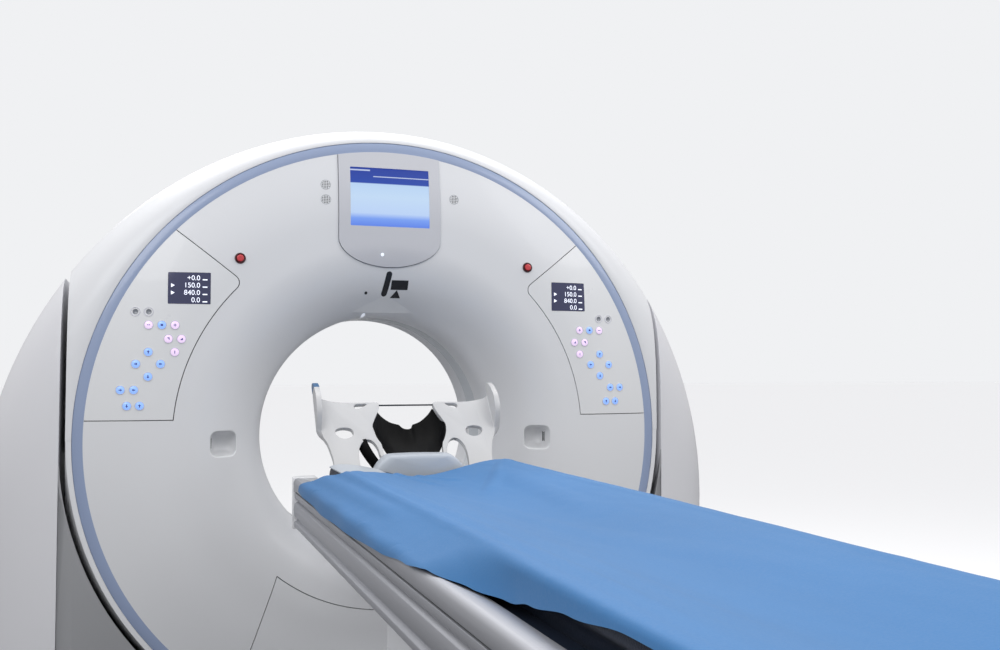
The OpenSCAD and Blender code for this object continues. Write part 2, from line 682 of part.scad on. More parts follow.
module front_end_cap() color("white") at_iso() difference() {
  intersection() {
    translate([0, 0, rail_low]) linear_extrude(rail_h) union() {
      translate([0, couch_front - 60]) rounded_2d(2 * couch_x, 120, 40);
      translate([0, couch_front - 93 + seat]) square([2 * couch_x, 57 - 2 * seat], center = true);
    }
    block([-500, couch_front - 65 + seat, -500], [500, couch_front + 10, 0]);
  }
  block([-couch_gap, couch_front - 80, top_low - 6], [couch_gap, couch_front + 20, 0]);
}
module rear_end_cap() color("white") at_iso() difference() {
  translate([0, 0, rail_low]) linear_extrude(rail_h + 30) translate([0, couch_rear + 20])
    rounded_2d(2 * couch_x, 80 - 2 * seat, 30);
  block([-couch_gap, couch_rear + 18, top_low - 6], [couch_gap, couch_rear + 80, 100]);
}

// What lies on the slide

module tabletop() color("white") at_iso() {
  along_y(couch_rear + 30, top_front) polygon([[-top_x, pad_low], [-top_x, pad_low - 14],
    [-top_x + 40, top_low], [top_x - 40, top_low], [top_x, pad_low - 14], [top_x, pad_low]]);
  along_y(top_front - 10, top_front + 60)
    polygon([[-90, pad_low - 2], [-70, top_low + 4], [70, top_low + 4], [90, pad_low - 2]]);
}
// Top of the mattress across the couch, lifted by t
function cradle(t) = [for (k = [-8:8])
  [(pad_x - 26) * k / 8, pad_top - pad_hollow * pow(cos(90 * k / 8), 2) + t]];
module mattress() color("midnightblue") at_iso() along_y(couch_rear + 50, pad_front)
  polygon(concat([[-pad_foot + 12, pad_low + seat], [-pad_foot, pad_low + 14], [-pad_foot - 2, rail_top + 4],
    [-pad_x, rail_top + 22], [-pad_x, pad_top - 14], [-pad_x + 10, pad_top - 3]], cradle(0),
    [[pad_x - 10, pad_top - 3], [pad_x, pad_top - 14], [pad_x, rail_top + 22], [pad_foot + 2, rail_top + 4],
    [pad_foot, pad_low + 14], [pad_foot - 12, pad_low + seat]]));
module head_pad() color("lightsteelblue") at_iso() difference() {
  along_y(pad_front + seat, pad_front + 75)
    polygon([[-150, pad_low + 18], [-82, pad_top + 14], [82, pad_top + 14], [150, pad_low + 18]]);
  beside_lean(1);
}
module sheet_2d() {
  hang = rail_top - 28;
  polygon(concat([[-couch_x - 8, hang], [-couch_x - 8, rail_top + 2], [-couch_x, rail_top + 12],
    [-pad_x - 6, pad_top + 3]], cradle(seat + sheet_t),
    [[pad_x - 4, pad_top + 4], [pad_x + 8, pad_top - 4], [pad_x + 12, pad_top - 26],
    [pad_x + 7, pad_top - 27], [pad_x + 3, pad_top - 8], [pad_x - 8, pad_top - 1]], reversed(cradle(seat)),
    [[-pad_x + 8, pad_top - 1], [-pad_x - 9, pad_top - 4], [-couch_x + 4, rail_top + 6],
    [-couch_x - 3, rail_top], [-couch_x - 3, hang]]));
}
module sheet() color("cornflowerblue") at_iso() intersection() {
  along_y(sheet_rear, couch_front - 98) sheet_2d();
  translate([0, 0, -300]) linear_extrude(400)
    polygon([[-couch_x - 20, couch_front - 98], [-pad_x - 10, pad_front - 10], [400, pad_front - 10],
      [400, sheet_rear], [-pad_x - 30, sheet_rear], [-couch_x - 20, -1900]]);
}
module on_lean(t) {
  translate([0, support_foot[0], support_foot[1]]) rotate([90 - lean, 0, 0])
    translate([0, 0, -t / 2]) linear_extrude(t) children();
}
// Heights in the support's own plane, from a height about the isocentre
function up(x, z) = [x, (z - support_foot[1]) / cos(lean)];
module wing_2d() {
  difference() {
    polygon([up(232, foot_z), up(163, foot_z), up(163, -60), up(160, -25), up(148, -4),
      up(132, 4), up(116, -2), up(104, -20), up(98, -42), up(90, -42), up(92, -10), up(106, 16),
      up(111, 40), up(104, 58), up(92, 78), up(84, 98), up(86, 109), up(150, 109), up(207, 111),
      up(221, 113), up(245, 118), up(fin_x[0], 128), up(fin_x[1], 128), up(fin_x[1], 54), up(259, 23),
      up(244, -13), up(234, -58)]);
    polygon([up(120, 104), up(154, 103), up(158, 95), up(150, 90), up(134, 96)]);
    polygon([up(170, 24), up(176, 34), up(198, 38), up(218, 32), up(222, 24), up(212, 12), up(194, 8),
      up(178, 14)]);
  }
}
// A wing's outer edge, turned towards the couch
module fin() translate([0, support_foot[0], support_foot[1]]) rotate([90 - lean, 0, 0])
  along_x(fin_x[0], fin_x[1]) polygon([for (p = fin_line) [up(0, p[1])[1], p[0]]]);
module arm_support() color("white") at_iso() {
  on_lean(support_t) {
    wing_2d();
    mirror([1, 0]) wing_2d();
    polygon([up(-232, foot_z), up(232, foot_z), up(232, foot_z + 12), up(-232, foot_z + 12)]);
  }
  both_x() fin();
  translate([0, support_foot[0] + (bar_z - support_foot[1]) * tan(lean), bar_z]) rod_x(-90, 90, 2.5);
}
// The couch's side of the support's plane (side 0), or the gantry's (side 1)
module beside_lean(side) {
  translate([0, support_foot[0], support_foot[1]]) rotate([90 - lean, 0, 0]) mirror([0, 0, side])
    translate([-300, -300, -support_t / 2 - seat]) cube([600, 600, 300]);
}
module head_holder() color("black") at_iso() difference() {
  union() {
    translate([0, holder_at[0], holder_at[1]]) rotate([holder_rise, 0, 0]) along_y(-20, 172)
      polygon([[-104, 66], [-70, 3], [-50, -6], [50, -6], [70, 3], [104, 66], [98, 70], [66, 10], [46, 0],
        [-46, 0], [-66, 10], [-98, 70]]);
    block([-45, -720, pad_low + seat], [45, -640, -70]);
    translate([0, holder_at[0], -76]) block([-30, -20, 0], [30, 40, 30]);
  }
  beside_lean(0);
  translate([0, -505, 62]) rotate([holder_rise, 0, 0]) block([-60, -40, -80], [60, 40, 120]);
}

base_frame();
levelling_screws();
tilt_towers();
tilt_bearings();
tilt_motor();
tilt_pinion();
side_cover_left();
side_cover_right();
lower_surrounds();
cable_duct();
tilt_frame();
bearing_outer_race();
drive_stator();
front_cover();
rear_cover();
top_cover();
drum_skirt();
trim_rings();
bore_window();
bore_lip();
display_bezel();
main_display();
lower_front_cover();
control_panels();
readouts();
panel_keys();
stop_collars();
stop_button_left();
stop_button_right();
grip_recesses();
tilt_sector();
brush_block();
rotor_ring();
bearing_inner_race();
drive_magnets();
xray_tube();
collimator();
detector();
hv_generator();
heat_exchanger();
counterweights();
slip_ring();
couch_base();
lift_motor();
lower_stage();
mid_stage();
upper_stage();
couch_frame();
side_rails();
front_end_cap();
rear_end_cap();
slide_drive();
tabletop();
mattress();
head_pad();
sheet();
arm_support();
head_holder();
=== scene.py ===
# Tilting CT scanner with its couch: finishes, covers, couch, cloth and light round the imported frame.
import json
from math import asin, atan2, cos, hypot, pi, radians, sin, sqrt

import bpy
from mathutils import Matrix, Vector, noise

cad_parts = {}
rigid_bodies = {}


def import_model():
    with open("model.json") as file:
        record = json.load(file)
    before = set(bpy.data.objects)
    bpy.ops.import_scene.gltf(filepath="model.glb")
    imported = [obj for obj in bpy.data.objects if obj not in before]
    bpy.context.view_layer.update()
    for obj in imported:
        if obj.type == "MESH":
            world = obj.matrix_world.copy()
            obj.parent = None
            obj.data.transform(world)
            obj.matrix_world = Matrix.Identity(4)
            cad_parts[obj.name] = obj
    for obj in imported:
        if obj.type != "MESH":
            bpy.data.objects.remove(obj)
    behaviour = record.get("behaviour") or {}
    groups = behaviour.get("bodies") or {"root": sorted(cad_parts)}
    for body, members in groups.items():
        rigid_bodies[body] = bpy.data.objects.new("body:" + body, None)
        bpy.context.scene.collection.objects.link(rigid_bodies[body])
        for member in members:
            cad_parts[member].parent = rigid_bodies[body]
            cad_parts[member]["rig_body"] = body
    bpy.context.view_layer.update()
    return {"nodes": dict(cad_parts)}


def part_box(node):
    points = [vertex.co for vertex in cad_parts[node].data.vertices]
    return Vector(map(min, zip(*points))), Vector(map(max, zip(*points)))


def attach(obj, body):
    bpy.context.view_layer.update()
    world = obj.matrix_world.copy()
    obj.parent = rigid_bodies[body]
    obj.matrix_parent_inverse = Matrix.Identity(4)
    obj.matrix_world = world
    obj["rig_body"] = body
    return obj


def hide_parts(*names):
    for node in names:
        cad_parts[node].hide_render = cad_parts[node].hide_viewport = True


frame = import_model()


# Sizes the pieces share, read from the frame
def metres(rows):  # rows of millimetres
    return [tuple(v / 1000 for v in row) for row in rows]


windowLow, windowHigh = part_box("bore_window")
isoZ = (windowLow.z + windowHigh.z) / 2  # the bore's axis over the floor
ringLow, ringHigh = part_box("trim_rings")
ringR = (ringHigh.x - ringLow.x) / 2
ringY = ringHigh.y
shellLow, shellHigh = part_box("side_cover_right")
shellX = shellHigh.x
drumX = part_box("drum_skirt")[1].x
wallX = shellLow.x
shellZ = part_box("top_cover")[1].z - isoZ
face = {
    "boreR": 0.390, "throatY": 0.150, "flareR": 0.620, "crownR": 0.700, "ringWidth": 0.031,
    "crownHeight": 0.028, "wall": 0.006, "windowY": 0.055, "steps": 288,
}
ringIn = ringR - face["ringWidth"]
faceY = ringY + face["crownHeight"]


# Shader graphs
class Wire:  # a node's output, on which sums add Math nodes
    def __init__(self, finish, socket):
        self.finish = finish
        self.socket = socket

    def maths(self, operation, first, second=0.0):
        return self.finish.add("ShaderNodeMath", {"operation": operation}, {0: first, 1: second})

    def __add__(self, other):
        return self.maths("ADD", self, other)

    def __sub__(self, other):
        return self.maths("SUBTRACT", self, other)

    def __mul__(self, other):
        return self.maths("MULTIPLY", self, other)

    def __truediv__(self, other):
        return self.maths("DIVIDE", self, other)

    def __gt__(self, other):
        return self.maths("GREATER_THAN", self, other)

    def __lt__(self, other):
        return self.maths("LESS_THAN", self, other)

    __radd__ = __add__
    __rmul__ = __mul__


class Graph:  # a node tree, empty at first
    def __init__(self, tree):
        self.tree = tree
        tree.nodes.clear()

    def add(self, kind, settings=None, inputs=None, output=0):
        node = self.tree.nodes.new(kind)
        for name, value in (settings or {}).items():
            if name == "stops":
                ramp = node.color_ramp
                while len(ramp.elements) < len(value):
                    ramp.elements.new(0.5)
                for element, (place, shade) in zip(ramp.elements, value):
                    element.position = place
                    element.color = shade
            else:
                setattr(node, name, value)
        for name, value in (inputs or {}).items():
            if isinstance(value, Wire):
                self.tree.links.new(value.socket, node.inputs[name])
            else:
                node.inputs[name].default_value = value
        return Wire(self, node.outputs[output]) if node.outputs else node


class Finish(Graph):  # one material and its Principled shader
    def __init__(self, name, colour, roughness=0.5, metallic=0.0, coat=0.0, sheen=0.0):
        self.material = bpy.data.materials.new(name)
        self.material.use_nodes = True
        super().__init__(self.material.node_tree)
        self.colour = linear(colour)
        looks = {"Base Color": self.colour, "Roughness": roughness, "Metallic": metallic,
                 "Coat Weight": coat, "Sheen Weight": sheen}
        wire = self.add("ShaderNodeBsdfPrincipled", inputs=looks)
        self.shader = wire.socket.node
        self.add("ShaderNodeOutputMaterial", inputs={0: wire})

    def feed(self, name, wire):
        self.tree.links.new(wire.socket, self.shader.inputs[name])
        return self

    def place(self):
        return self.add("ShaderNodeTexCoord", output="Object")

    def axis(self, vector, letter):
        return self.add("ShaderNodeSeparateXYZ", inputs={0: vector}, output=letter)

    def grain(self, scale, detail=2.0, where=None, kind="ShaderNodeTexNoise"):
        return self.add(kind, inputs={"Vector": where or self.place(), "Scale": scale,
                                      **({"Detail": detail} if detail else {})})

    def mix(self, amount, first, second):
        return self.add("ShaderNodeMix", {"data_type": "RGBA"}, {0: amount, 6: first, 7: second}, output=2)

    def between(self, value, low, high):  # a value from 0 to 1 spread from low to high
        return value * (high - low) + low

    def bump(self, height, strength, distance=0.001):
        return self.feed("Normal", self.add("ShaderNodeBump", inputs={
            "Strength": strength, "Distance": distance, "Height": height}))


def linear(shade):  # 0-255 screen colour to a shader's colour
    return tuple(((c / 255 + 0.055) / 1.055) ** 2.4 if c > 10 else c / 3294 for c in shade) + (1.0,)


def tinted(finish, times, more=0.0):  # the finish's colour made lighter or darker
    return tuple(min(1.0, c * times + more) for c in finish.colour[:3]) + (1.0,)


def plastic(name, colour, roughness=0.38, coat=0.15, depth=0.05, scale=900):
    finish = Finish(name, colour, roughness, coat=coat)
    skin = finish.grain(scale)
    cloud = finish.grain(1.7, 3.0)
    dull = finish.colour[0] * 0.93, finish.colour[1] * 0.93, finish.colour[2] * 0.935, 1.0
    finish.feed("Base Color", finish.mix(finish.between(cloud, 0.0, 0.55), finish.colour, dull))
    finish.feed("Roughness", finish.between(finish.grain(14, 4.0), roughness - 0.07, roughness + 0.09))
    return finish.bump(skin, depth)


def metal(name, colour, roughness=0.32, brushed=(1, 1, 1), depth=0.08):
    finish = Finish(name, colour, roughness, metallic=1.0)
    lines = finish.add("ShaderNodeMapping", inputs={"Vector": finish.place(), "Scale": brushed})
    streak = finish.grain(500, 3.0, lines)
    finish.feed("Roughness", finish.between(streak, roughness - 0.08, roughness + 0.12))
    return finish.bump(streak, depth, 0.0004)


def enamel(name, colour, roughness=0.45):
    finish = Finish(name, colour, roughness, coat=0.05)
    speck = finish.grain(1400, 2.0)
    worn = finish.grain(3, 5.0)
    dark = tinted(finish, 0.85)
    finish.feed("Base Color", finish.mix(finish.between(worn, 0.0, 0.6), finish.colour, dark))
    return finish.bump(speck, 0.12, 0.0005)


def lit(name, colour, glow):  # a lens with light behind it, brighter in its middle
    finish = Finish(name, colour, 0.25, coat=0.5)
    spread = finish.grain(60, 2.0)
    pale = tinted(finish, 1.12)
    shade = finish.mix(finish.between(spread, 0.0, 0.8), finish.colour, pale)
    finish.feed("Base Color", shade).feed("Emission Color", shade)
    finish.shader.inputs["Emission Strength"].default_value = glow
    return finish


def glass(name, colour):  # dark filter glass with a faint line raster
    finish = Finish(name, colour, 0.08, coat=1.0)
    raster = finish.add("ShaderNodeTexWave", {"bands_direction": "Z"}, {
        "Vector": finish.place(), "Scale": 320.0, "Distortion": 0.0})
    light = tinted(finish, 1.5)
    shade = finish.mix(finish.between(raster, 0.0, 0.4), finish.colour, light)
    finish.feed("Base Color", shade)
    finish.feed("Roughness", finish.between(finish.grain(30, 3.0), 0.05, 0.14))
    return finish


def vinyl(name, colour):  # soft cover with a leather grain and dull patches
    finish = Finish(name, colour, 0.45, coat=0.03, sheen=0.03)
    pores = finish.grain(420, None, kind="ShaderNodeTexVoronoi")
    rubbed = finish.grain(6, 4.0)
    worn = tinted(finish, 1.25, 0.004)
    finish.feed("Base Color", finish.mix(finish.between(rubbed, 0.0, 0.7), finish.colour, worn))
    finish.feed("Roughness", finish.between(rubbed, 0.36, 0.56))
    return finish.bump(pores, 0.35, 0.0006)


def nonWoven(name, colour):  # pressed fibre cloth with a point bond grid
    finish = Finish(name, colour, 0.66, sheen=0.05)
    where = finish.place()
    fibre = finish.grain(260, 6.0, where)
    long = finish.grain(5, 3.0, finish.add("ShaderNodeMapping",
                                           inputs={"Vector": where, "Scale": (1, 0.25, 1)}))
    bonds = finish.grain(300, None, where, kind="ShaderNodeTexVoronoi")
    deep = tinted(finish, 0.80)
    pale = tinted(finish, 1.14, 0.003)
    base = finish.mix(finish.between(long, 0.0, 1.0), deep, pale)
    finish.feed("Base Color", finish.mix(finish.between(fibre, 0.0, 0.30), base, pale))
    finish.feed("Roughness", finish.between(fibre, 0.50, 0.74))
    return finish.bump(finish.between(fibre, 0.0, 0.6) + bonds * 0.4, 0.30, 0.0006)


palette = {  # for each kind of surface its finishes
    plastic: [("gantryWhite", (226, 227, 230)), ("panelWhite", (229, 230, 232), 0.3, 0.25),
              ("sideWhite", (222, 222, 226), 0.42), ("bezelGrey", (204, 205, 211), 0.3, 0.3),
              ("trimBlue", (150, 165, 196), 0.3, 0.3), ("windowPale", (214, 219, 224), 0.22, 0.4),
              ("couchWhite", (232, 233, 236), 0.3, 0.3), ("stopRed", (205, 60, 66), 0.3, 0.4),
              # the lower surrounds' grey is painted shade of the hollow under the drum
              ("collarDark", (74, 26, 30), 0.45), ("surroundGrey", (154, 155, 158), 0.45),
              ("supportWhite", (196, 196, 197), 0.34, 0.25), ("capBlue", (62, 104, 146), 0.35, 0.2),
              ("inkBlack", (26, 26, 30), 0.5), ("inkBlue", (62, 72, 150), 0.5),
              ("shadowBlack", (30, 31, 34), 0.6), ("keyRim", (212, 212, 222), 0.35, 0.3),
              ("keyGrey", (124, 128, 136), 0.3, 0.5), ("carbonBlack", (4, 4, 5), 0.46, 0.0)],
    lit: [("lensPale", (228, 234, 246), 0.5), ("keyPink", (230, 206, 238), 0.40),
          ("keyBlue", (140, 178, 244), 0.45), ("digitWhite", (226, 230, 244), 0.8)],
    glass: [("readoutGlass", (42, 46, 84))],
    vinyl: [("navyVinyl", (12, 23, 40)), ("greyVinyl", (168, 174, 182))],
    nonWoven: [("clothBlue", (50, 112, 168))],
    metal: [("anodised", (182, 183, 188), 0.60, (1, 0.01, 1)), ("brightSteel", (190, 192, 196), 0.25),
            ("copper", (190, 120, 80), 0.3), ("brass", (200, 170, 100), 0.3)],
    enamel: [("castGrey", (120, 124, 130)), ("frameGrey", (84, 88, 94)), ("greenCase", (70, 120, 96)),
             ("motorDark", (44, 50, 58))],
}
finishes = {row[0]: kind(*row) for kind, rows in palette.items() for row in rows}
for name, shine in (("carbonBlack", 0.10), ("navyVinyl", 0.15)):
    finishes[name].shader.inputs["Specular IOR Level"].default_value = shine


def glowingScreen():  # header, pale field and deep foot of the display
    finish = Finish("screenGlow", (8, 16, 40), 0.45)
    where = finish.place()
    high = finish.axis(where, "Z")
    low, top = isoZ + bezel["screenZ"], isoZ + bezel["screenZ"] + bezel["screen"][1]
    up = (high - low) / (top - low)
    field = finish.add("ShaderNodeValToRGB", {"stops": [
        (0.0, linear((92, 132, 236))), (0.13, linear((122, 162, 246))), (0.22, linear((190, 214, 250))),
        (0.5, linear((196, 221, 248))), (0.72, linear((186, 214, 246))), (0.735, linear((6, 62, 168))),
        (1.0, linear((4, 50, 156)))]}, {0: up})
    across = finish.axis(where, "X")
    line = (up > 0.84) * (up < 0.856) * (across > -0.055) + (up > 0.94) * (up < 0.965) * (across < -0.065)
    picture = finish.mix(line * 0.75, field, linear((214, 226, 250)))
    finish.feed("Emission Color", picture)
    finish.shader.inputs["Base Color"].default_value = linear((14, 18, 30))
    finish.shader.inputs["Emission Strength"].default_value = 0.93
    return finish


print("finishes", len(finishes))


# Modelling
def clear():
    if bpy.context.object and bpy.context.object.mode != "OBJECT":
        bpy.ops.object.mode_set(mode="OBJECT")
    bpy.ops.object.select_all(action="DESELECT")


def only(o):
    clear()
    o.select_set(True)
    bpy.context.view_layer.objects.active = o
    return o


def modify(o, kind, **settings):
    only(o)
    modifier = o.modifiers.new(kind.title(), kind)
    for name, value in settings.items():
        setattr(modifier, name, value)
    bpy.ops.object.modifier_apply(modifier=modifier.name)
    return o


def bevelled(o, width, segments=3, angle=50):
    return modify(o, "BEVEL", width=width, segments=segments, limit_method="ANGLE",
                  angle_limit=radians(angle))


def editing(o):
    only(o)
    bpy.ops.object.mode_set(mode="EDIT")
    bpy.ops.mesh.select_all(action="SELECT")


def sealed(o, weld=0.0, inside=False):  # the mesh being edited, welded and with its faces turned out
    bpy.ops.mesh.select_all(action="SELECT")
    if weld:
        bpy.ops.mesh.remove_doubles(threshold=weld)
    bpy.ops.mesh.normals_make_consistent(inside=inside)
    bpy.ops.object.mode_set(mode="OBJECT")
    return o


def strand(name, points):  # a chain of edges through points
    clear()
    bpy.ops.mesh.primitive_plane_add(size=0.01, location=points[0])
    bpy.ops.object.transform_apply(location=True)
    o = bpy.context.object
    o.name = name
    bpy.ops.object.mode_set(mode="EDIT")
    bpy.ops.mesh.merge(type="CENTER")
    for start, end in zip(points, points[1:]):
        bpy.ops.mesh.extrude_region_move(TRANSFORM_OT_translate={"value": Vector(end) - Vector(start)})
    return o


def turned(name, profile, steps=32, weld=0.00001):  # profile of (radius, y) spun about the bore's axis
    o = strand(name, [(r, y, isoZ) for r, y in profile])
    bpy.ops.mesh.select_all(action="SELECT")
    bpy.ops.mesh.spin(steps=steps, angle=2 * pi, center=(0, 0, isoZ), axis=(0, -1, 0))
    return sealed(o, weld)


def prism(name, outline, y0, y1):  # outline of (x, z) about the bore's axis
    o = strand(name, [(x, y0, isoZ + z) for x, z in outline])
    bpy.ops.mesh.select_all(action="SELECT")
    bpy.ops.mesh.edge_face_add()
    bpy.ops.mesh.extrude_region_move(TRANSFORM_OT_translate={"value": (0, y1 - y0, 0)})
    return sealed(o)


def cut(o, tools, operation="DIFFERENCE"):
    for tool in tools:
        modify(o, "BOOLEAN", object=tool, operation=operation, solver="EXACT")
        bpy.data.objects.remove(tool)
    return o


def copied(o, name):
    twin = o.copy()
    twin.data = o.data.copy()
    twin.name = name
    bpy.context.scene.collection.objects.link(twin)
    return twin


def joined(name, parts):
    clear()
    for part in parts:
        part.select_set(True)
    bpy.context.view_layer.objects.active = parts[0]
    bpy.ops.object.join()
    parts[0].name = name
    return parts[0]


def bodyOf(node):
    return frame["nodes"][node]["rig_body"]


# a finished piece: it replaces its CAD node, or has its own name
def dress(o, node, finish, name=None, angle=35):
    if angle:
        only(o)
        bpy.ops.object.shade_smooth_by_angle(angle=radians(angle))
    o.name = name or node + "_shown"
    o.data.name = o.name
    o.data.materials.clear()
    o.data.materials.append(finishes[finish].material)
    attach(o, bodyOf(node))
    if not name:
        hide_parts(node)
    return o


def merged(node, finish, bevel):  # smooth copy of a CAD node that replaces it
    o = bpy.data.objects.new(node + "_shown", frame["nodes"][node].data.copy())
    bpy.context.scene.collection.objects.link(o)
    editing(o)
    bpy.ops.mesh.remove_doubles(threshold=0.00001)
    bpy.ops.object.mode_set(mode="OBJECT")
    return dress(bevelled(o, bevel, 2, 40) if bevel else o, node, finish, angle=32)


# Camera at the photograph's place, and the studio
viewpoint = {"place": (-0.751, -3.692, 1.278), "pitch": 2.38, "turn": -18.60, "lens": 38.11}
bpy.ops.object.camera_add(location=viewpoint["place"],
                          rotation=(radians(90 + viewpoint["pitch"]), 0, radians(viewpoint["turn"])))
camera = bpy.context.object
camera.data.lens = viewpoint["lens"]
camera.data.sensor_width = 36
bpy.context.scene.camera = camera

studio = {
    "floor": 160.0, "floorShade": (252, 252, 253), "floorBounce": (100, 101, 103),
    "background": (240, 241, 243), "skyHigh": 1.03, "skyLow": 0.38,
    "lamps": [((-2.6, -3.6, 3.6), (2.6, 1.8), 55), ((2.8, -2.6, 3.4), (2.2, 1.6), 42),
              ((0.0, 0.4, 4.2), (4.0, 2.6), 62), ((0.0, 3.6, 3.4), (3.0, 1.6), 28)],
}
bpy.ops.mesh.primitive_plane_add(size=studio["floor"], location=(0, 0, -0.0005))
floor = bpy.context.object
floor.name = "studioFloor"
floorFinish = Finish("studioFloor", studio["floorShade"], 0.75)
seen = floorFinish.add("ShaderNodeLightPath", output="Is Camera Ray")
floorFinish.feed("Base Color", floorFinish.mix(seen, linear(studio["floorBounce"]),
                                               linear(studio["floorShade"])))
floor.data.materials.append(floorFinish.material)
for place, size, power in studio["lamps"]:
    bpy.ops.object.light_add(type="AREA", location=place)
    lamp = bpy.context.object
    lamp.data.shape = "RECTANGLE"
    lamp.data.size, lamp.data.size_y = size
    lamp.data.energy = power
    lamp.rotation_euler = (Vector((0, -0.5, 0.9)) - Vector(place)).to_track_quat("-Z", "Y").to_euler()
world = bpy.data.worlds.new("studio")
bpy.context.scene.world = world
world.use_nodes = True
room = Graph(world.node_tree)
height = room.add("ShaderNodeSeparateXYZ", inputs={0: room.add("ShaderNodeTexCoord", output="Generated")},
                  output="Z")
level = room.add("ShaderNodeMapRange", inputs={"Value": height, "From Min": -0.25, "From Max": 0.85,
                                               "To Min": studio["skyLow"], "To Max": studio["skyHigh"]})
sky = room.add("ShaderNodeBackground", inputs={"Color": (0.985, 0.988, 1.0, 1), "Strength": level})
plainWall = room.add("ShaderNodeBackground", inputs={"Color": linear(studio["background"]), "Strength": 1.0})
rays = [room.add("ShaderNodeLightPath", output=ray) for ray in ("Is Camera Ray", "Is Transmission Ray")]
seen = room.add("ShaderNodeMath", {"operation": "MAXIMUM"}, {0: rays[0], 1: rays[1]})
choice = room.add("ShaderNodeMixShader", inputs={0: seen, 1: sky, 2: plainWall})
room.add("ShaderNodeOutputWorld", inputs={0: choice})
bpy.context.scene.view_settings.view_transform = "Standard"
print("camera and studio")


# Forms of the gantry
def faceLine(depth):  # (radius, y) from the flare's throat to the ring
    flare = [(face["flareR"] - (face["flareR"] - face["boreR"] - depth) * cos(radians(a)),
              -face["throatY"] - (faceY - face["throatY"] - depth) * sin(radians(a)))
             for a in range(0, 91, 3)]
    crown = [(face["crownR"] + (ringIn - face["crownR"]) * k / 15,
              -ringY - face["crownHeight"] * cos(radians(6 * k)) + depth) for k in range(16)]
    return flare + crown


def faceAt(x, z):  # the face's y in front of a point, z about the bore
    r = min(max(hypot(x, z), face["boreR"] + 0.0001), ringIn)
    for (r0, y0), (r1, y1) in zip(faceLine(0), faceLine(0)[1:]):
        if r0 <= r <= r1 and r1 > r0:
            return y0 + (y1 - y0) * (r - r0) / (r1 - r0)
    return -ringY - face["crownHeight"]


def faceSkin(name, front, back, throat=0.0):  # a layer over the face, closed
    line = faceLine(front) + faceLine(back)[::-1]
    if throat:
        line = [(face["boreR"], -throat)] + line + [(face["boreR"] + back, -throat)]
    return turned(name, line + line[:1], face["steps"], weld=0.00002)


def arc(centre, r, start, end, steps):
    return [(centre[0] + r * cos(start + (end - start) * k / steps),
             centre[1] + r * sin(start + (end - start) * k / steps)) for k in range(steps + 1)]


def mirrored(outline):
    return [(-x, z) for x, z in outline[::-1]]


bezel = {"halfWidth": 0.167, "bend": 0.632, "drop": 0.090, "proud": 0.005, "sunk": 0.002,
         "screen": (0.260, 0.192), "screenZ": 0.672}
finishes["screenGlow"] = glowingScreen()
panel = {"innerR": 0.668, "low": 0.060, "corner": (0.464, 0.482), "run": (0.193, 0.152), "fillet": 0.024,
         "seam": 0.0026, "bezelSeam": 0.0014}
lower = {"innerR": 0.555, "top": (0.350, -0.430), "foot": (0.535, -0.940)}
stop = {"at": (0.472, 0.555), "collarR": 0.0167}
grip = {"at": (0.515, -0.017), "size": (0.084, 0.082), "fillet": 0.022}


def bezelOutline(grow):
    w = bezel["halfWidth"] + grow
    edge = ringIn - 0.0003
    bottom = [(w * cos(a), bezel["bend"] + (bezel["drop"] + grow) * sin(a))
              for a in [pi + pi * k / 28 for k in range(29)]]
    return bottom + arc((0, 0), edge, atan2(sqrt(edge ** 2 - w ** 2), w),
                        atan2(sqrt(edge ** 2 - w ** 2), -w), 16)


def panelOutline(grow):
    run = Vector(panel["run"]).normalized()
    side = Vector((-run.y, run.x))
    edge, inner, fillet = ringIn - 0.0003, panel["innerR"] - grow, panel["fillet"] + grow
    off = Vector(panel["corner"]).dot(side) - panel["fillet"]
    hub = off * side + sqrt((panel["innerR"] + panel["fillet"]) ** 2 - off ** 2) * run
    start = hub + fillet * side
    reach = -start.dot(run) + sqrt(start.dot(run) ** 2 - start.length_squared + edge ** 2)
    top = start + reach * run
    low = panel["low"] - grow
    hubAngle = atan2(hub.y, hub.x)
    return (arc((0, 0), edge, asin(low / edge), atan2(top.y, top.x), 20)
            + arc(hub, fillet, atan2(side.y, side.x), hubAngle + pi, 8)
            + arc((0, 0), inner, hubAngle, asin(low / inner), 24)[1:])


def lowerOutline(grow):
    edge, inner = ringIn - 0.0003, lower["innerR"] - grow
    (tx, tz), (fx, fz) = lower["top"], lower["foot"]
    slope = (fx - tx) / (fz - tz)

    def angleAt(r):  # where the side line crosses a circle
        z = -r
        for _ in range(12):
            z = -sqrt(r ** 2 - (tx + grow + slope * (z - tz)) ** 2)
        return atan2(z, tx + grow + slope * (z - tz))

    return (arc((0, 0), inner, -pi - angleAt(inner), angleAt(inner), 40)
            + arc((0, 0), edge, angleAt(edge), -pi - angleAt(edge), 40))


def roundedOutline(centre, size, r, steps=6):
    x, z = size[0] / 2 - r, size[1] / 2 - r
    corners = [(x, z, 0), (-x, z, pi / 2), (-x, -z, pi), (x, -z, 3 * pi / 2)]
    return [p for cx, cz, a in corners
            for p in arc((centre[0] + cx, centre[1] + cz), r, a, a + pi / 2, steps)]


def bothSides(outline):
    return [outline, mirrored(outline)]


past = 0.03  # how far a cutting form reaches beyond what it cuts


def tools(outlines, y0, y1):
    return [prism("tool", outline, y0, y1) for outline in outlines]


def throughFace(outlines):
    return tools(outlines, -faceY - past, -face["throatY"] - 0.01)


def throughPlate(outlines):
    return tools(outlines, -faceY - past, past - ringY)


def within(skin, outlines):  # the part of a layer inside the outlines
    return cut(skin, [joined("pair", throughPlate(outlines))], "INTERSECT")


def pane(centre, size, gap=0.0):  # a display's outline, drawn in by a gap
    return roundedOutline(centre, [d - gap for d in size], 0.002, 2)


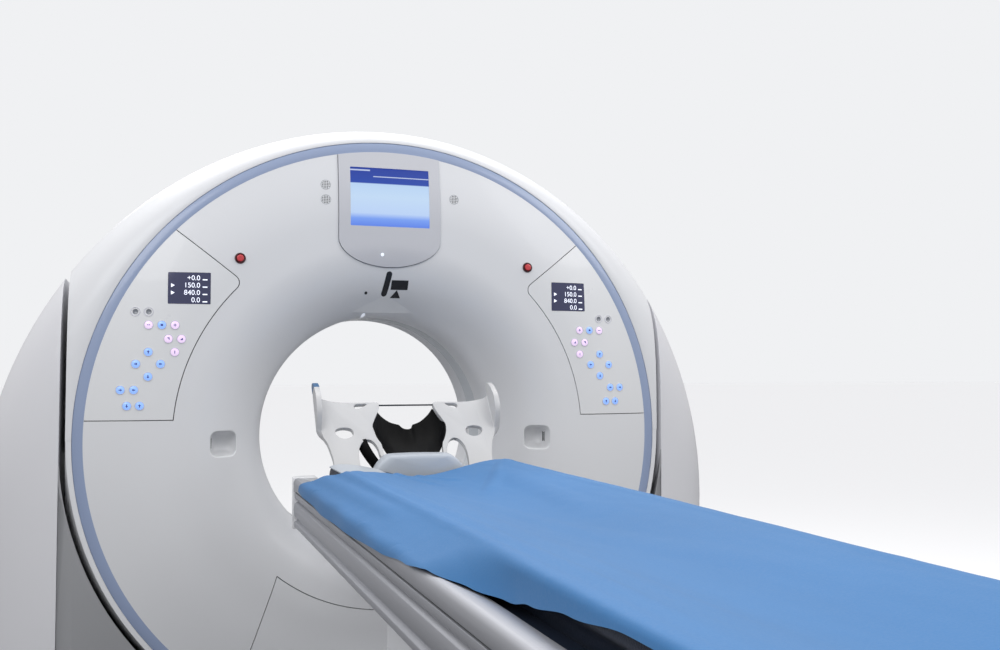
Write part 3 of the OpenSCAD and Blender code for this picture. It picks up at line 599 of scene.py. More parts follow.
paneGap = 0.0006
screenMiddle = (0, bezel["screenZ"] + bezel["screen"][1] / 2)
gripOutline = roundedOutline(grip["at"], grip["size"], grip["fillet"])
stopOutline = arc(stop["at"], stop["collarR"] + 0.0003, 0, 2 * pi * 31 / 32, 31)

front = faceSkin("front_cover_shown", 0, face["wall"], face["windowY"])
openings = [bezelOutline(panel["bezelSeam"]), lowerOutline(panel["seam"])]
for outline in (panelOutline(panel["seam"]), gripOutline, stopOutline):
    openings += bothSides(outline)
cut(front, throughFace(openings))
dress(front, "front_cover", "gantryWhite")

pieceSkin = faceSkin("skin", 0, face["wall"])
panels = copied(pieceSkin, "control_panels_shown")
within(panels, bothSides(panelOutline(0)))
readout = {"corner": (0.559, 0.4105), "size": (0.125, 0.097)}
readoutMiddle = [c + d / 2 for c, d in zip(readout["corner"], readout["size"])]
cut(panels, throughPlate(bothSides(pane(readoutMiddle, readout["size"]))))
dress(panels, "control_panels", "panelWhite")

lowerCover = copied(pieceSkin, "lower_front_cover_shown")
within(lowerCover, [lowerOutline(0)])
dress(lowerCover, "lower_front_cover", "gantryWhite")
bpy.data.objects.remove(pieceSkin)

bezelSkin = faceSkin("bezelSkin", -bezel["proud"], face["wall"])
display = faceSkin("display", bezel["sunk"] - bezel["proud"], face["wall"])
within(display, [pane(screenMiddle, bezel["screen"], paneGap)])
within(bezelSkin, [bezelOutline(0)])
cut(bezelSkin, throughPlate([pane(screenMiddle, bezel["screen"])]))
dress(bezelSkin, "display_bezel", "bezelGrey")
dress(display, "main_display", "screenGlow")

back = faceSkin("rear_cover_shown", 0, face["wall"], face["windowY"])
only(back)
back.scale.y = -1
bpy.ops.object.transform_apply(scale=True)
editing(back)
sealed(back)
dress(back, "rear_cover", "gantryWhite")
print("drum covers")


def loft(name, rings, closed=True, capped=True):  # a grid laid through rings of equally many points
    rows = [list(ring) + ([ring[0]] if closed else []) for ring in rings]
    clear()
    bpy.ops.mesh.primitive_grid_add(x_subdivisions=len(rows[0]) - 1, y_subdivisions=len(rows) - 1)
    o = bpy.context.object
    o.name = name
    for v, point in zip(o.data.vertices, [p for row in rows for p in row]):
        v.co = point
    editing(o)
    bpy.ops.mesh.remove_doubles(threshold=0.000005)
    if closed and capped:
        bpy.ops.mesh.fill_holes(sides=0)
    return sealed(o)


shell = {"roundY": 0.200, "wall": 0.006, "rings": 14, "around": 160, "taper": 0.020, "foot": 0.008,
         "waist": 0.265}


def shellBody(name, depth, drop=0.0):  # the whole shell as one closed form
    count = shell["around"]
    rows = []
    for k in range(shell["rings"] + 1):
        swell = sin(pi / 2 * k / shell["rings"])
        half = ringR - depth + (shellX - ringR) * swell
        high = ringR - depth + drop + (shellZ - ringR) * swell
        low = -shell["waist"] * swell
        y = ringY - depth - shell["roundY"] * (1 - cos(pi / 2 * k / shell["rings"]))
        outline = [(half * cos(pi * i / count), low + (high - low) * sin(pi * i / count))
                   for i in range(count + 1)]
        outline += [(shell["taper"] - half, shell["foot"] - isoZ),
                    (half - shell["taper"], shell["foot"] - isoZ)]
        rows.append((y, outline))
    rows = [(-y, outline) for y, outline in rows] + rows[::-1]
    return loft(name, [[(x, y, isoZ + z - drop) for x, z in outline] for y, outline in rows])


def crate(low, high):
    return prism("crate", [(low[0], low[2]), (high[0], low[2]), (high[0], high[2]), (low[0], high[2])],
                 low[1], high[1])


def barrel(r, y):
    return prism("barrel", arc((0, 0), r, 0, 2 * pi * 287 / 288, 287), -y, y)


def axle(r, x0, x1, y=0.0, z=0.0, sides=64):
    clear()
    bpy.ops.mesh.primitive_cylinder_add(vertices=sides, radius=r, depth=x1 - x0, rotation=(0, pi / 2, 0),
                                        location=((x0 + x1) / 2, y, isoZ + z))
    bpy.ops.object.transform_apply(location=True, rotation=True)
    return bpy.context.object


parting = {"x": 1.02, "y": 0.4}  # how far the boxes that part the shell reach


def sideCover(side):
    outer = side * (shellX + 0.05)
    x0, x1 = sorted((side * wallX, outer))
    inner0, inner1 = sorted((side * (wallX + shell["wall"]), outer))
    cover = cut(shellBody("cover", 0), [crate((x0, -parting["y"], -isoZ), (x1, parting["y"], shellZ))],
                "INTERSECT")
    hollow = cut(shellBody("hollow", shell["wall"], 0.020),
                 [crate((inner0, -parting["y"], -isoZ - 0.04), (inner1, parting["y"], shellZ))], "INTERSECT")
    notches = [crate((-parting["x"], y - 0.032, -isoZ - 0.01), (parting["x"], y + 0.032, 0.034 - isoZ))
               for y in (-0.18, 0.18)]
    return cut(cover, [hollow, axle(0.062, -parting["x"], parting["x"])] + notches)


for side, node in ((-1, "side_cover_left"), (1, "side_cover_right")):
    cover = bevelled(sideCover(side), 0.004)
    dress(cover, node, "sideWhite")

topCover = cut(shellBody("top_cover_shown", 0),
               [crate((-drumX, -parting["y"], 0), (drumX, parting["y"], shellZ + 0.01))], "INTERSECT")
innerX = drumX - shell["wall"]
hollow = cut(shellBody("hollow", shell["wall"]),
             [crate((-innerX, -parting["y"], -0.01), (innerX, parting["y"], shellZ + 0.01))], "INTERSECT")
cut(topCover, [hollow, barrel(ringR + 0.0003, parting["y"]), axle(0.056, -1.0, 1.0)])
bevelled(topCover, 0.003)
dress(topCover, "top_cover", "gantryWhite")
print("outer shell")


def draped(o, lift=0.0):  # a flat piece laid on the drum's face
    for v in o.data.vertices:
        v.co.y += faceAt(v.co.x, v.co.z - isoZ) - lift
    return o


def moved(o, dx, dz):
    for v in o.data.vertices:
        v.co.x += dx
        v.co.z += dz
    return o


def eased(points, steps=4, closed=True):  # a smooth curve through chosen points
    n = len(points)
    line = []
    for i in range(n if closed else n - 1):
        quad = [Vector(points[(i + k) % n] if closed else points[min(max(i + k, 0), n - 1)])
                for k in (-1, 0, 1, 2)]
        for s in range(steps):
            t = s / steps
            line.append(tuple(0.5 * (2 * quad[1] + (quad[2] - quad[0]) * t
                                     + (2 * quad[0] - 5 * quad[1] + 4 * quad[2] - quad[3]) * t ** 2
                                     + (3 * quad[1] - quad[0] - 3 * quad[2] + quad[3]) * t ** 3)))
    return line + ([] if closed else [tuple(points[-1])])


# Keys of the control panels; their places count in key pitches from the middle of the four-way set
key = {"pitch": 0.038, "home": (0.738, 0.228), "glyph": 0.0052, "ink": 0.0004, "lift": 0.0019}
rimProfile = metres([(14, 0.3), (14, -0.9), (13.6, -1.4), (12.6, -1.5), (12.1, -0.9), (11.9, 0.3), (14, 0.3)])
domeProfile = metres([(0, 0.3), (11.8, 0.3), (11.8, -0.6), (11.2, -1.3), (8.5, -1.9), (4.5, -2.2), (0, -2.3)])
dotProfile = metres([(0, 0.3), (8, 0.3), (8, -0.8), (7.4, -1.2), (6, -0.9), (5, -0.4), (0, -0.4)])
glyphs = {
    "arrow": [(0, 1), (0.85, 0.1), (0.3, 0.1), (0.3, -0.9), (-0.3, -0.9), (-0.3, 0.1), (-0.85, 0.1)],
    "bar": [(-0.9, -0.22), (0.9, -0.22), (0.9, 0.22), (-0.9, 0.22)],
    "plus": [(-0.9, -0.2), (-0.2, -0.2), (-0.2, -0.9), (0.2, -0.9), (0.2, -0.2), (0.9, -0.2), (0.9, 0.2),
             (0.2, 0.2), (0.2, 0.9), (-0.2, 0.9), (-0.2, 0.2), (-0.9, 0.2)],
    "block": [(-0.7, -0.6), (0.7, -0.6), (0.7, 0.6), (-0.7, 0.6)],
    "wedge": [(-0.8, -0.7), (0.8, -0.7), (0.8, 0.8)],
}
keyPlan = [  # place, light, sign and its quarter turns
    (-2, 3.1, "keyPink", "plus", 0), (0, 3.1, "keyPink", "bar", 0), (-2.5, 2, "keyPink", "wedge", 0),
    (-1.5, 2, "keyPink", "wedge", 1), (-2, 0.95, "keyPink", "bar", 1), (-1, 3.1, "keyBlue", "block", 0),
    (0, 0.95, "keyBlue", "arrow", 0), (-0.93, 0, "keyBlue", "arrow", 1), (0.93, 0, "keyBlue", "arrow", 3),
    (0, -1, "keyBlue", "arrow", 2), (1.05, -2.05, "keyBlue", "arrow", 1),
    (2.05, -2.05, "keyBlue", "arrow", 3), (0.6, -3.3, "keyBlue", "arrow", 0),
    (1.55, -3.3, "keyBlue", "arrow", 2), (0, 4.15, "keyGrey", None, 0), (1, 4.15, "keyGrey", None, 0),
]


def keyPlaces(grid):
    right = [(key["home"][0] + key["pitch"] * x, key["home"][1] + key["pitch"] * z) for x, z in grid]
    return right + [(-x, z) for x, z in right]


def scattered(name, pattern, places, lift=0.0):  # one small piece copied to each place and laid on the face
    copies = [draped(moved(copied(pattern, name), x, z), lift) for x, z in places]
    bpy.data.objects.remove(pattern)
    return joined(name, copies)


rim = turned("rim", rimProfile)
dress(scattered("panel_keys_shown", rim, keyPlaces([row[:2] for row in keyPlan])), "panel_keys", "keyRim")
for light in ("keyPink", "keyBlue", "keyGrey"):
    lens = turned("lens", dotProfile if light == "keyGrey" else domeProfile)
    places = keyPlaces([row[:2] for row in keyPlan if row[2] == light])
    dress(scattered(light + "Lights", lens, places), "panel_keys", light, light + "Lights")
marks = []
for x, z, light, glyph, turns in keyPlan:
    if glyph:
        along, across = cos(turns * pi / 2) * key["glyph"], sin(turns * pi / 2) * key["glyph"]
        outline = [(px * along - pz * across, px * across + pz * along) for px, pz in glyphs[glyph]]
        for kx, kz in keyPlaces([(x, z)]):
            marks.append(draped(moved(prism("mark", outline, 0.0, -key["ink"]), kx, kz), key["lift"]))
dress(joined("keyMarks", marks), "panel_keys", "inkBlue", "keyMarks", 0)
print("keys")

# Readouts: dark glass with plain numbers
readoutRows = ["+0.0", "150.0", "840.0", "0.0"]
readoutText = {"size": 0.0215, "rowStep": 0.0225, "right": 0.094, "top": 0.073, "lift": 0.0014, "ink": 0.0003,
               "unitX": 0.101, "tipX": 0.009}
unitSign, tipSign = metres([(0, 0), (14, 0), (14, 3.5), (0, 3.5)]), metres([(0, 0), (11, 6), (0, 12)])
glassSkin = faceSkin("readouts_shown", -0.0006, face["wall"])
within(glassSkin, bothSides(pane(readoutMiddle, readout["size"], paneGap)))
dress(glassSkin, "readouts", "readoutGlass")


def written(words, x, z):  # characters laid on the face, right edge at x
    clear()
    bpy.ops.object.text_add(location=(x, 0, isoZ + z), rotation=(pi / 2, 0, 0))
    o = bpy.context.object
    o.data.body = words
    o.data.size = readoutText["size"]
    o.data.align_x = "RIGHT"
    o.data.extrude = 0.0002
    bpy.ops.object.convert(target="MESH")
    bpy.ops.object.transform_apply(location=True, rotation=True)
    return draped(o, readoutText["lift"])


def inked(outline, x, z):  # a flat sign laid on the face
    return draped(moved(prism("sign", outline, 0.0, -readoutText["ink"]), x, z), readoutText["lift"])


digits = []
for left in (-readout["corner"][0] - readout["size"][0], readout["corner"][0]):
    for row, words in enumerate(readoutRows):
        z = readout["corner"][1] + readoutText["top"] - row * readoutText["rowStep"]
        digits += [written(words, left + readoutText["right"], z),
                   inked(unitSign, left + readoutText["unitX"], z)]
        if row in (1, 2):
            digits.append(inked(tipSign, left + readoutText["tipX"], z))
dress(joined("readoutDigits", digits), "readouts", "digitWhite", "readoutDigits", 0)
print("readouts")

# Emergency stops
collarProfile = metres([(11.7, 20), (16.5, 20), (16.5, -2.5), (15.8, -3.8), (14.5, -4.2), (12.8, -3.6),
                        (11.9, -2.2), (11.7, 20)])
buttonProfile = metres([(0, 14), (10.6, 14), (10.6, -4), (11, -5.2), (10.8, -7), (9.6, -8.4), (7, -9),
                        (4, -8.8), (0, -8.6)])
dress(scattered("stop_collars_shown", turned("collar", collarProfile, 48),
                [stop["at"], (-stop["at"][0], stop["at"][1])]), "stop_collars", "collarDark")
for side, node in ((-1, "stop_button_left"), (1, "stop_button_right")):
    button = scattered(node + "_shown", turned("button", buttonProfile, 48),
                       [(side * stop["at"][0], stop["at"][1])])
    dress(button, node, "stopRed")

# Grip recesses: a soft rounded cup with a finger slot at its outer end, whose depth is a dark strip of
# painted shade
gripStations = metres([(0, -0.2), (1.2, 0.6), (2.2, 2.2), (3, 6), (4, 16), (5.5, 30), (9, 44), (16, 53),
                       (26, 57)])
# sizes of the dark strip of painted shade in each slot
gripShadeStrip = {"depths": (0.025, 0.030, 0.035, 0.040), "halfHeight": 0.018, "thick": 0.0022}


def gripCup(side):
    centre = (side * grip["at"][0], grip["at"][1])
    floorY = faceAt(*grip["at"])
    rings = []
    for inset, depth in gripStations:
        size = [d - 2 * inset for d in grip["size"]]
        outline = roundedOutline(centre, size, max(grip["fillet"] - 0.3 * inset, 0.004), 7)
        blend = min(depth / 0.045, 1.0)
        rings.append([(x, (1 - blend) * faceAt(x, z) + blend * floorY + depth, isoZ + z) for x, z in outline])
    cup = loft("cup", rings, capped=False)
    editing(cup)
    bpy.ops.mesh.select_all(action="DESELECT")
    bpy.ops.object.mode_set(mode="OBJECT")
    deepest = max(v.co.y for v in cup.data.vertices)
    for v in cup.data.vertices:
        v.select = v.co.y > deepest - 0.00001
    bpy.ops.object.mode_set(mode="EDIT")
    bpy.ops.mesh.select_mode(type="VERT")
    bpy.ops.mesh.edge_face_add()
    return modify(sealed(cup, inside=True), "SOLIDIFY", thickness=0.003, offset=-1.0)


cups = joined("grip_recesses_shown", [gripCup(-1), gripCup(1)])
dress(cups, "grip_recesses", "panelWhite", angle=50)
slotShades = []
for side in (-1, 1):  # a dark strip in the cup's outer wall: painted shade deep in the finger slot
    rings = []
    for depth in gripShadeStrip["depths"]:
        inset = next(i0 + (i1 - i0) * (depth - d0) / (d1 - d0)
                     for (i0, d0), (i1, d1) in zip(gripStations, gripStations[1:]) if d0 <= depth <= d1)
        wall = grip["size"][0] / 2 - inset
        x0, x1 = [side * (grip["at"][0] + wall + e) for e in (-0.0007, gripShadeStrip["thick"])]
        y = faceAt(*grip["at"]) + depth
        rings.append([(x, y, isoZ + grip["at"][1] + h) for x, h in (
            (x0, -gripShadeStrip["halfHeight"]), (x1, -gripShadeStrip["halfHeight"]), (x1, gripShadeStrip["halfHeight"]),
            (x0, gripShadeStrip["halfHeight"]))])
    slotShades.append(loft("gripShadeStrip", rings))
dress(joined("gripShadeStrips", slotShades), "grip_recesses", "shadowBlack", "gripShadeStrips")
print("stops and grips")

# Small features of the face
dotRows = {"pitch": 0.0052, "reach": 0.0125}
intercoms = metres([(-208, 800), (-208, 752), (216, 773)])
holes = [(i * dotRows["pitch"], j * dotRows["pitch"]) for i in range(-2, 3) for j in range(-2, 3)
         if hypot(i, j) * dotRows["pitch"] < dotRows["reach"]]
smallParts = [  # name, profile in mm, steps, places, lift, node and finish
    # dark discs on the face for the intercom's holes: painted shade inside the holes
    ("intercomHoleShades", [(0, 0.2), (1.7, 0.2), (1.7, -0.3), (0, -0.3)], 10,
     [(x + dx, z + dz) for x, z in intercoms for dx, dz in holes], 0.0, "front_cover", "shadowBlack"),
    ("intercomRings", [(15.8, 0.3), (15.8, -0.4), (14.8, -0.4), (14.8, 0.3), (15.8, 0.3)], 40,
     intercoms, 0.0, "front_cover", "keyGrey"),
    ("faceDot", [(0, 0.4), (4.8, 0.4), (4.8, -0.6), (4, -1.2), (0, -1.4)], 28,
     [(-0.0685, 0.460)], 0.0, "front_cover", "shadowBlack"),
    ("bezelLens", [(0, 0.4), (5.5, 0.4), (5.5, -1.2), (4.6, -1.8), (3.8, -1.2), (0, -2)], 32,
     [(-0.026, 0.581)], bezel["proud"] * 0.9, "display_bezel", "lensPale"),
    ("laserPorts", [(0, 4), (6.5, 4), (6.5, -1.2), (5.5, -2.6), (3, -3.4), (0, -3.6)], 24,
     [(-0.0575, 0.3915)], 0.0, "front_cover", "lensPale"),
]
for name, profile, steps, places, lift, node, finish in smallParts:
    pattern = turned("pattern", metres(profile), steps)
    dress(scattered(name, pattern, places, lift), node, finish, name)
signAt, pillLean = (-0.008, 0.484), radians(-9)
tiltMark = [  # a leaning pill, a block and a small triangle
    [(0.005 + x * cos(pillLean) - z * sin(pillLean), 0.006 + x * sin(pillLean) + z * cos(pillLean))
     for x, z in roundedOutline((0, 0), (0.019, 0.080), 0.0094, 5)],
    [(0.020, -0.012), (0.0755, -0.012), (0.0755, 0.018), (0.020, 0.018)],
    [(0.022, -0.038), (0.056, -0.038), (0.041, -0.013)],
]
markSkin = faceSkin("tiltMark", -0.0005, 0.0006)
shapes = [[(x + signAt[0], z + signAt[1]) for x, z in outline] for outline in tiltMark]
cut(markSkin, [joined("inks", throughFace(shapes))], "INTERSECT")
dress(markSkin, "front_cover", "inkBlack", "tiltMark")
print("small features")

# Arm support: two moulded wings in one leaning plane, heights given about the bore
support = {"foot": (-0.689, -0.065), "lean": radians(35.75), "thick": 0.016, "bevel": 0.0055, "barZ": 0.104}
wing = metres([(233.5, -127), (160, -127), (162.5, -60), (160, -25), (148, -4), (132, 4), (116, -2),
               (104, -20), (99, -42), (90, -42), (92, -10), (106, 16), (111, 40), (104, 58), (92, 78),
               (84, 98), (88, 109), (120, 109.5), (150, 109), (185, 109), (207, 111), (221, 113), (245, 118),
               (262, 128), (268, 146), (277, 158), (288, 157), (300, 147), (314, 127), (325, 98), (318, 66),
               (297, 44), (272, 26), (251, 0), (241, -30), (236, -58)])
fold = {"from": 0.258, "r": 0.012, "cuts": 7}  # the wing's outer part turns towards the couch here
wingHoles = [
    metres([(120, 104), (137, 104.5), (154, 103), (159, 96), (150, 90), (134, 96)]),
    metres([(170, 22), (176, 34), (198, 38), (218, 34), (223, 25), (212, 12), (194, 8), (177, 13)]),
]
capFrom = 0.134  # foot of the blue cap on the left wing's tip


def inPlane(z):  # length up the leaning plane from a height
    return (z - support["foot"][1]) / cos(support["lean"])


def leaned(o):  # a piece drawn upright, laid on the leaning plane
    for v in o.data.vertices:
        up, out = v.co.z - isoZ, v.co.y
        v.co.y = support["foot"][0] + up * sin(support["lean"]) + out * cos(support["lean"])
        v.co.z = isoZ + support["foot"][1] + up * cos(support["lean"]) - out * sin(support["lean"])
    return o


def folded(o):  # a flat wing with its outer part turned by a right angle
    turn = fold["r"] * pi / 2
    editing(o)
    for side in (-1, 1):
        for k in range(fold["cuts"]):
            bpy.ops.mesh.select_all(action="SELECT")
            bpy.ops.mesh.bisect(plane_co=(side * (fold["from"] + turn * k / (fold["cuts"] - 1)), 0, isoZ),
                                plane_no=(1, 0, 0))
    bpy.ops.object.mode_set(mode="OBJECT")
    for v in o.data.vertices:
        over = abs(v.co.x) - fold["from"]
        if over > 0:
            angle = min(over / fold["r"], pi / 2)
            rest = over - fold["r"] * angle
            across = fold["from"] + (fold["r"] + v.co.y) * sin(angle) + rest * cos(angle)
            out = (fold["r"] + v.co.y) * cos(angle) - fold["r"] - rest * sin(angle)
            v.co.x, v.co.y = (across if v.co.x > 0 else -across), out
    return o


def wingForm(side, grow=0.0):
    half = support["thick"] / 2 + grow
    outline = [(side * x, inPlane(z)) for x, z in eased(wing, 4)]
    form = prism("wing", outline, -half, half)
    return cut(form, [prism("hole", [(side * x, inPlane(z)) for x, z in eased(h, 4)], -0.05, 0.05)
                      for h in wingHoles])


wings = [bevelled(wingForm(side), support["bevel"], 4) for side in (-1, 1)]
footLow, footHigh = inPlane(-0.1295), inPlane(-0.118)
foot = prism("foot", roundedOutline((0, (footLow + footHigh) / 2), (0.460, footHigh - footLow), 0.004, 4),
             -0.0075, 0.0075)
bevelled(foot, 0.003)
dress(leaned(folded(joined("arm_support_shown", wings + [foot]))), "arm_support", "supportWhite", angle=40)
tip = cut(wingForm(-1, 0.0008), [crate((-0.36, -0.05, inPlane(capFrom)), (-0.20, 0.05, inPlane(0.20)))],
          "INTERSECT")
bevelled(tip, 0.0045, 4)
tip.data.transform(Matrix.Translation((-0.0006, 0, 0.0008)))
dress(leaned(folded(tip)), "arm_support", "capBlue", "wingCap", 40)
barY = support["foot"][0] + inPlane(support["barZ"]) * sin(support["lean"])
rod = bevelled(axle(0.0024, -0.089, 0.089, barY, support["barZ"], 24), 0.0006, 2)
dress(rod, "arm_support", "motorDark", "supportRod")
print("arm support")

# Head holder: a glossy trough with a notch at its far end and a curved strap guide on the left
holder = {"near": (-0.664, -0.041), "rise": radians(28), "across": 40, "along": 26, "thick": 0.0045,
          "notch": 0.0975, "reach": 0.166, "notchHalf": 0.021, "edge": (0.075, 0.108, 0.086),
          "edgeUp": (0.008, 0.058, 0.0625), "sink": 0.0365, "step": 0.026}


def threeWay(values, t):  # a smooth line through values at 0, 0.5 and 1
    a, b, c = values
    return a + t * (4 * b - 3 * a - c) + t ** 2 * (2 * a + 2 * c - 4 * b)


def holderPoint(u, t):
    side = abs(u)
    edgeX, edgeUp = threeWay(holder["edge"], t), threeWay(holder["edgeUp"], t)
    x = edgeX * (1.25 * side - 0.25 * side ** 3)
    floorUp = holder["sink"] * (t ** 2) * 0.9
    wallShare = max(0.0, (side - 0.42) / 0.58)
    up = floorUp + (edgeUp - floorUp) * (0.75 * wallShare ** 1.2 + 0.25 * wallShare ** 3)
    if x < holder["notchHalf"]:
        reach = holder["notch"] + holder["step"] * (1 - sqrt(max(0.0, 1 - (x / holder["notchHalf"]) ** 2)))
    else:
        reach = holder["notch"] + holder["step"] + (holder["reach"] - holder["notch"] - holder["step"]) * (
            (x - holder["notchHalf"]) / (edgeX - holder["notchHalf"])) ** 1.1
    run = t * reach
    rise = holder["rise"]
    return ((x if u > 0 else -x), holder["near"][0] + run * cos(rise) - up * sin(rise),
            isoZ + holder["near"][1] + run * sin(rise) + up * cos(rise))


rows = [[holderPoint(-1 + 2 * i / holder["across"], k / holder["along"]) for i in range(holder["across"] + 1)]
        for k in range(holder["along"] + 1)]
trough = loft("trough", rows, closed=False)
modify(trough, "SOLIDIFY", thickness=holder["thick"], offset=-1.0)
bevelled(trough, 0.0016, 3, 60)
guideLine = eased(metres([(-150, -640, 6), (-143, -648, -12), (-131, -656, -34), (-116, -663, -56),
                          (-98, -670, -80)]), 5, closed=False)
strap = {"half": (0.0165, 0.0045), "across": Vector((1, -0.55, 0.35)).normalized(), "sides": 20}
guideRows = []
for k, (x, y, z) in enumerate(guideLine):
    ahead = Vector(guideLine[min(k + 1, len(guideLine) - 1)]) - Vector(guideLine[max(k - 1, 0)])
    wide = strap["across"] * strap["half"][0]
    flat = ahead.normalized().cross(strap["across"]).normalized() * strap["half"][1]
    guideRows.append([tuple(Vector((x, y, isoZ + z)) + wide * cos(a) + flat * sin(a))
                      for a in [2 * pi * i / strap["sides"] for i in range(strap["sides"])]])
guide = loft("guide", guideRows)
tongueForm = {"near": -0.715, "length": 0.075, "z": -0.098, "size": (0.088, 0.052), "round": 0.008,
              "ends": 0.006}
tongueRows = []
for k in range(7):
    size = [d - (tongueForm["ends"] if k in (0, 6) else 0) for d in tongueForm["size"]]
    section = roundedOutline((0, tongueForm["z"]), size, tongueForm["round"], 4)
    tongueRows.append([(x, tongueForm["near"] + tongueForm["length"] * k / 6, isoZ + z) for x, z in section])
tongue = loft("tongue", tongueRows)
dress(joined("head_holder_shown", [trough, guide, tongue]), "head_holder", "carbonBlack", angle=50)
print("head holder")

# Mattress, head pad and piping
pad = {"halfX": 0.262, "footX": 0.240, "low": -0.132, "top": -0.052, "hollow": 0.038, "front": -0.760,
       "rear": -2.850, "railTop": -0.105}


def gentle(t):
    t = min(max(t, 0.0), 1.0)
    return t * t * (3 - 2 * t)


def cradle(x):  # height of the mattress's top
    return pad["top"] - pad["hollow"] * cos(pi / 2 * min(abs(x) / (pad["halfX"] - 0.026), 1)) ** 2


def padSection(inset):
    w, f, low = pad["halfX"] - inset, pad["footX"] - inset, pad["low"] + 0.0006 + inset
    top, rail = pad["top"], pad["railTop"]
    side = [(f - 0.012, low), (f - 0.002, low + 0.006), (f + 0.001, low + 0.016), (f + 0.002, rail + 0.004),
            (f + 0.010, rail + 0.013), (w, rail + 0.022), (w + 0.0012, top - 0.022),
            (w, top - 0.013 - inset), (w - 0.0035, top - 0.006 - inset), (w - 0.010, top - 0.0025 - inset)]
    crown = [((w - 0.026) * k / 9, cradle((pad["halfX"] - 0.026) * k / 9) - inset) for k in range(9, -1, -1)]
    right = side + crown
    return right + [(-x, z) for x, z in right[-2::-1]]


def noiseAt(x, y, z):
    return noise.noise(Vector((x, y, z)))


def padWave(x, y, z):  # soft unevenness of a filled cover
    return 0.0016 * noiseAt(x * 5, y * 4, z * 9) + 0.0006 * noiseAt(x * 18, y * 14, z * 30)


padStations = metres([(0, 12), (2, 6), (6, 2), (14, 0)])
padLength = pad["front"] - pad["rear"]
ends = [(padLength - run, inset) for run, inset in padStations[::-1]]
stations = padStations + [(padLength * k / 70, 0.0) for k in range(1, 70)] + ends
padRows = []
for run, inset in stations:
    y = pad["front"] - run
    padRows.append([(x + padWave(x, y, z), y, isoZ + z - abs(padWave(z, x, y)) * (1 if z > -0.1 else 0))
                    for x, z in eased(padSection(inset), 2)])
mattress = loft("mattress_shown", padRows)
dress(mattress, "mattress", "navyVinyl", angle=60)


def piped(name, line, r):  # a round cord along a closed line
    rows = []
    for k, point in enumerate(line):
        ahead = (Vector(line[(k + 1) % len(line)]) - Vector(line[k - 1])).normalized()
        first = ahead.cross(Vector((0, 0, 1)) if abs(ahead.z) < 0.9 else Vector((1, 0, 0))).normalized()
        second = ahead.cross(first)
        rows.append([tuple(Vector(point) + first * r * cos(a) + second * r * sin(a))
                     for a in [2 * pi * i / 8 for i in range(8)]])
    return loft(name, rows + rows[:1], capped=False)


cord = {"r": 0.0022, "under": 0.013, "corner": (0.006, 0.004), "x": pad["halfX"] - 0.0005,
        "front": pad["front"] + 0.0005, "rear": pad["rear"] - 0.0005}


def cordSide(side, start, step):  # the cord down one long side of the mattress
    return [(side * cord["x"], start + step * k / 60, isoZ + pad["top"] - cord["under"])
            for k in range(1, 60)]


def cordEnd(side, y, inward):  # the cord round two corners and across an end
    x, z = side * (cord["x"] - cord["corner"][0]), isoZ + pad["top"] - cord["under"]
    corners = [(at, y + inward * cord["corner"][1], z) for at in (x, -x)]
    across = [side * cord["x"] * (1 - 2 * k / 20) for k in range(1, 20)]
    return corners[:1] + [(at, y, isoZ + cradle(at) - cord["under"]) for at in across] + corners[1:]


seam = (cordSide(1, cord["front"], -padLength) + cordEnd(1, cord["rear"], 1)
        + cordSide(-1, cord["rear"], padLength) + cordEnd(-1, cord["front"], -1))
dress(piped("mattressPiping", seam, cord["r"]), "mattress", "navyVinyl", "mattressPiping", 60)
print("mattress")

headPad = {"front": -0.7595, "behind": 0.0118, "slope": 0.72, "middle": -0.076, "half": (0.11, 0.038),
           "round": 0.007, "steps": 9}
padOutline = eased(metres([(150, -108), (145, -94), (122, -56), (98, -34), (82, -29), (45, -27.5), (0, -27),
                           (-45, -27.5), (-82, -29), (-98, -34), (-122, -56), (-145, -94), (-150, -108),
                           (-140, -113.5), (0, -113.8), (140, -113.5)]), 4)
headRows = []
for k in range(headPad["steps"] + 1):
    t = k / headPad["steps"]
    inset = headPad["round"] * (1 - sin(pi * t) ** 0.35)
    thinner, lower = [1 - inset / half for half in headPad["half"]]
    ring = []
    for x, z in padOutline:
        behind = support["foot"][0] + (z - support["foot"][1]) * headPad["slope"] - headPad["behind"]
        y = headPad["front"] + (behind - headPad["front"]) * t
        ring.append((x * thinner, y, isoZ + headPad["middle"] + (z - headPad["middle"]) * lower))
    headRows.append(ring)
headCushion = loft("head_pad_shown", headRows)
modify(headCushion, "SUBSURF", levels=1, render_levels=1)
for v in headCushion.data.vertices:
    v.co += Vector((padWave(v.co.x * 2, v.co.y, v.co.z), 0, 0.5 * padWave(v.co.z, v.co.x * 2, v.co.y)))
dress(headCushion, "head_pad", "greyVinyl", angle=60)
strip = {"from": -0.2615, "to": -0.125, "front": -0.7640, "rear": -1.120, "thick": 0.0018, "steps": 14}
stripRows = []
for k in range(strip["steps"] + 1):
    y = strip["front"] + (strip["rear"] - strip["front"]) * k / strip["steps"]
    across = [strip["from"] + (strip["to"] - strip["from"]) * i / 12 for i in range(13)]
    upper = [(x, y, isoZ + cradle(x) + strip["thick"] - 0.0055 * gentle((-0.244 - x) / 0.0175))
             for x in across]
    stripRows.append(upper + [(x, y, z - strip["thick"] - 0.0010) for x, y, z in reversed(upper)])
tab = loft("padTab", stripRows)
dress(tab, "mattress", "greyVinyl", "padTab", 40)
print("head pad")

# The sheet: thin blue cloth over the mattress, its left side hanging over the rail
cloth = {"thick": 0.0014, "lift": 0.0022, "across": 92, "along": 240, "rear": -2.862, "rightDrop": 0.024,
         "flank": 14, "end": -2.846, "flat": (0.70, 2.20), "start": -0.66, "hangs": -0.330, "tucked": 0.965,
         "ripple": 0.003}
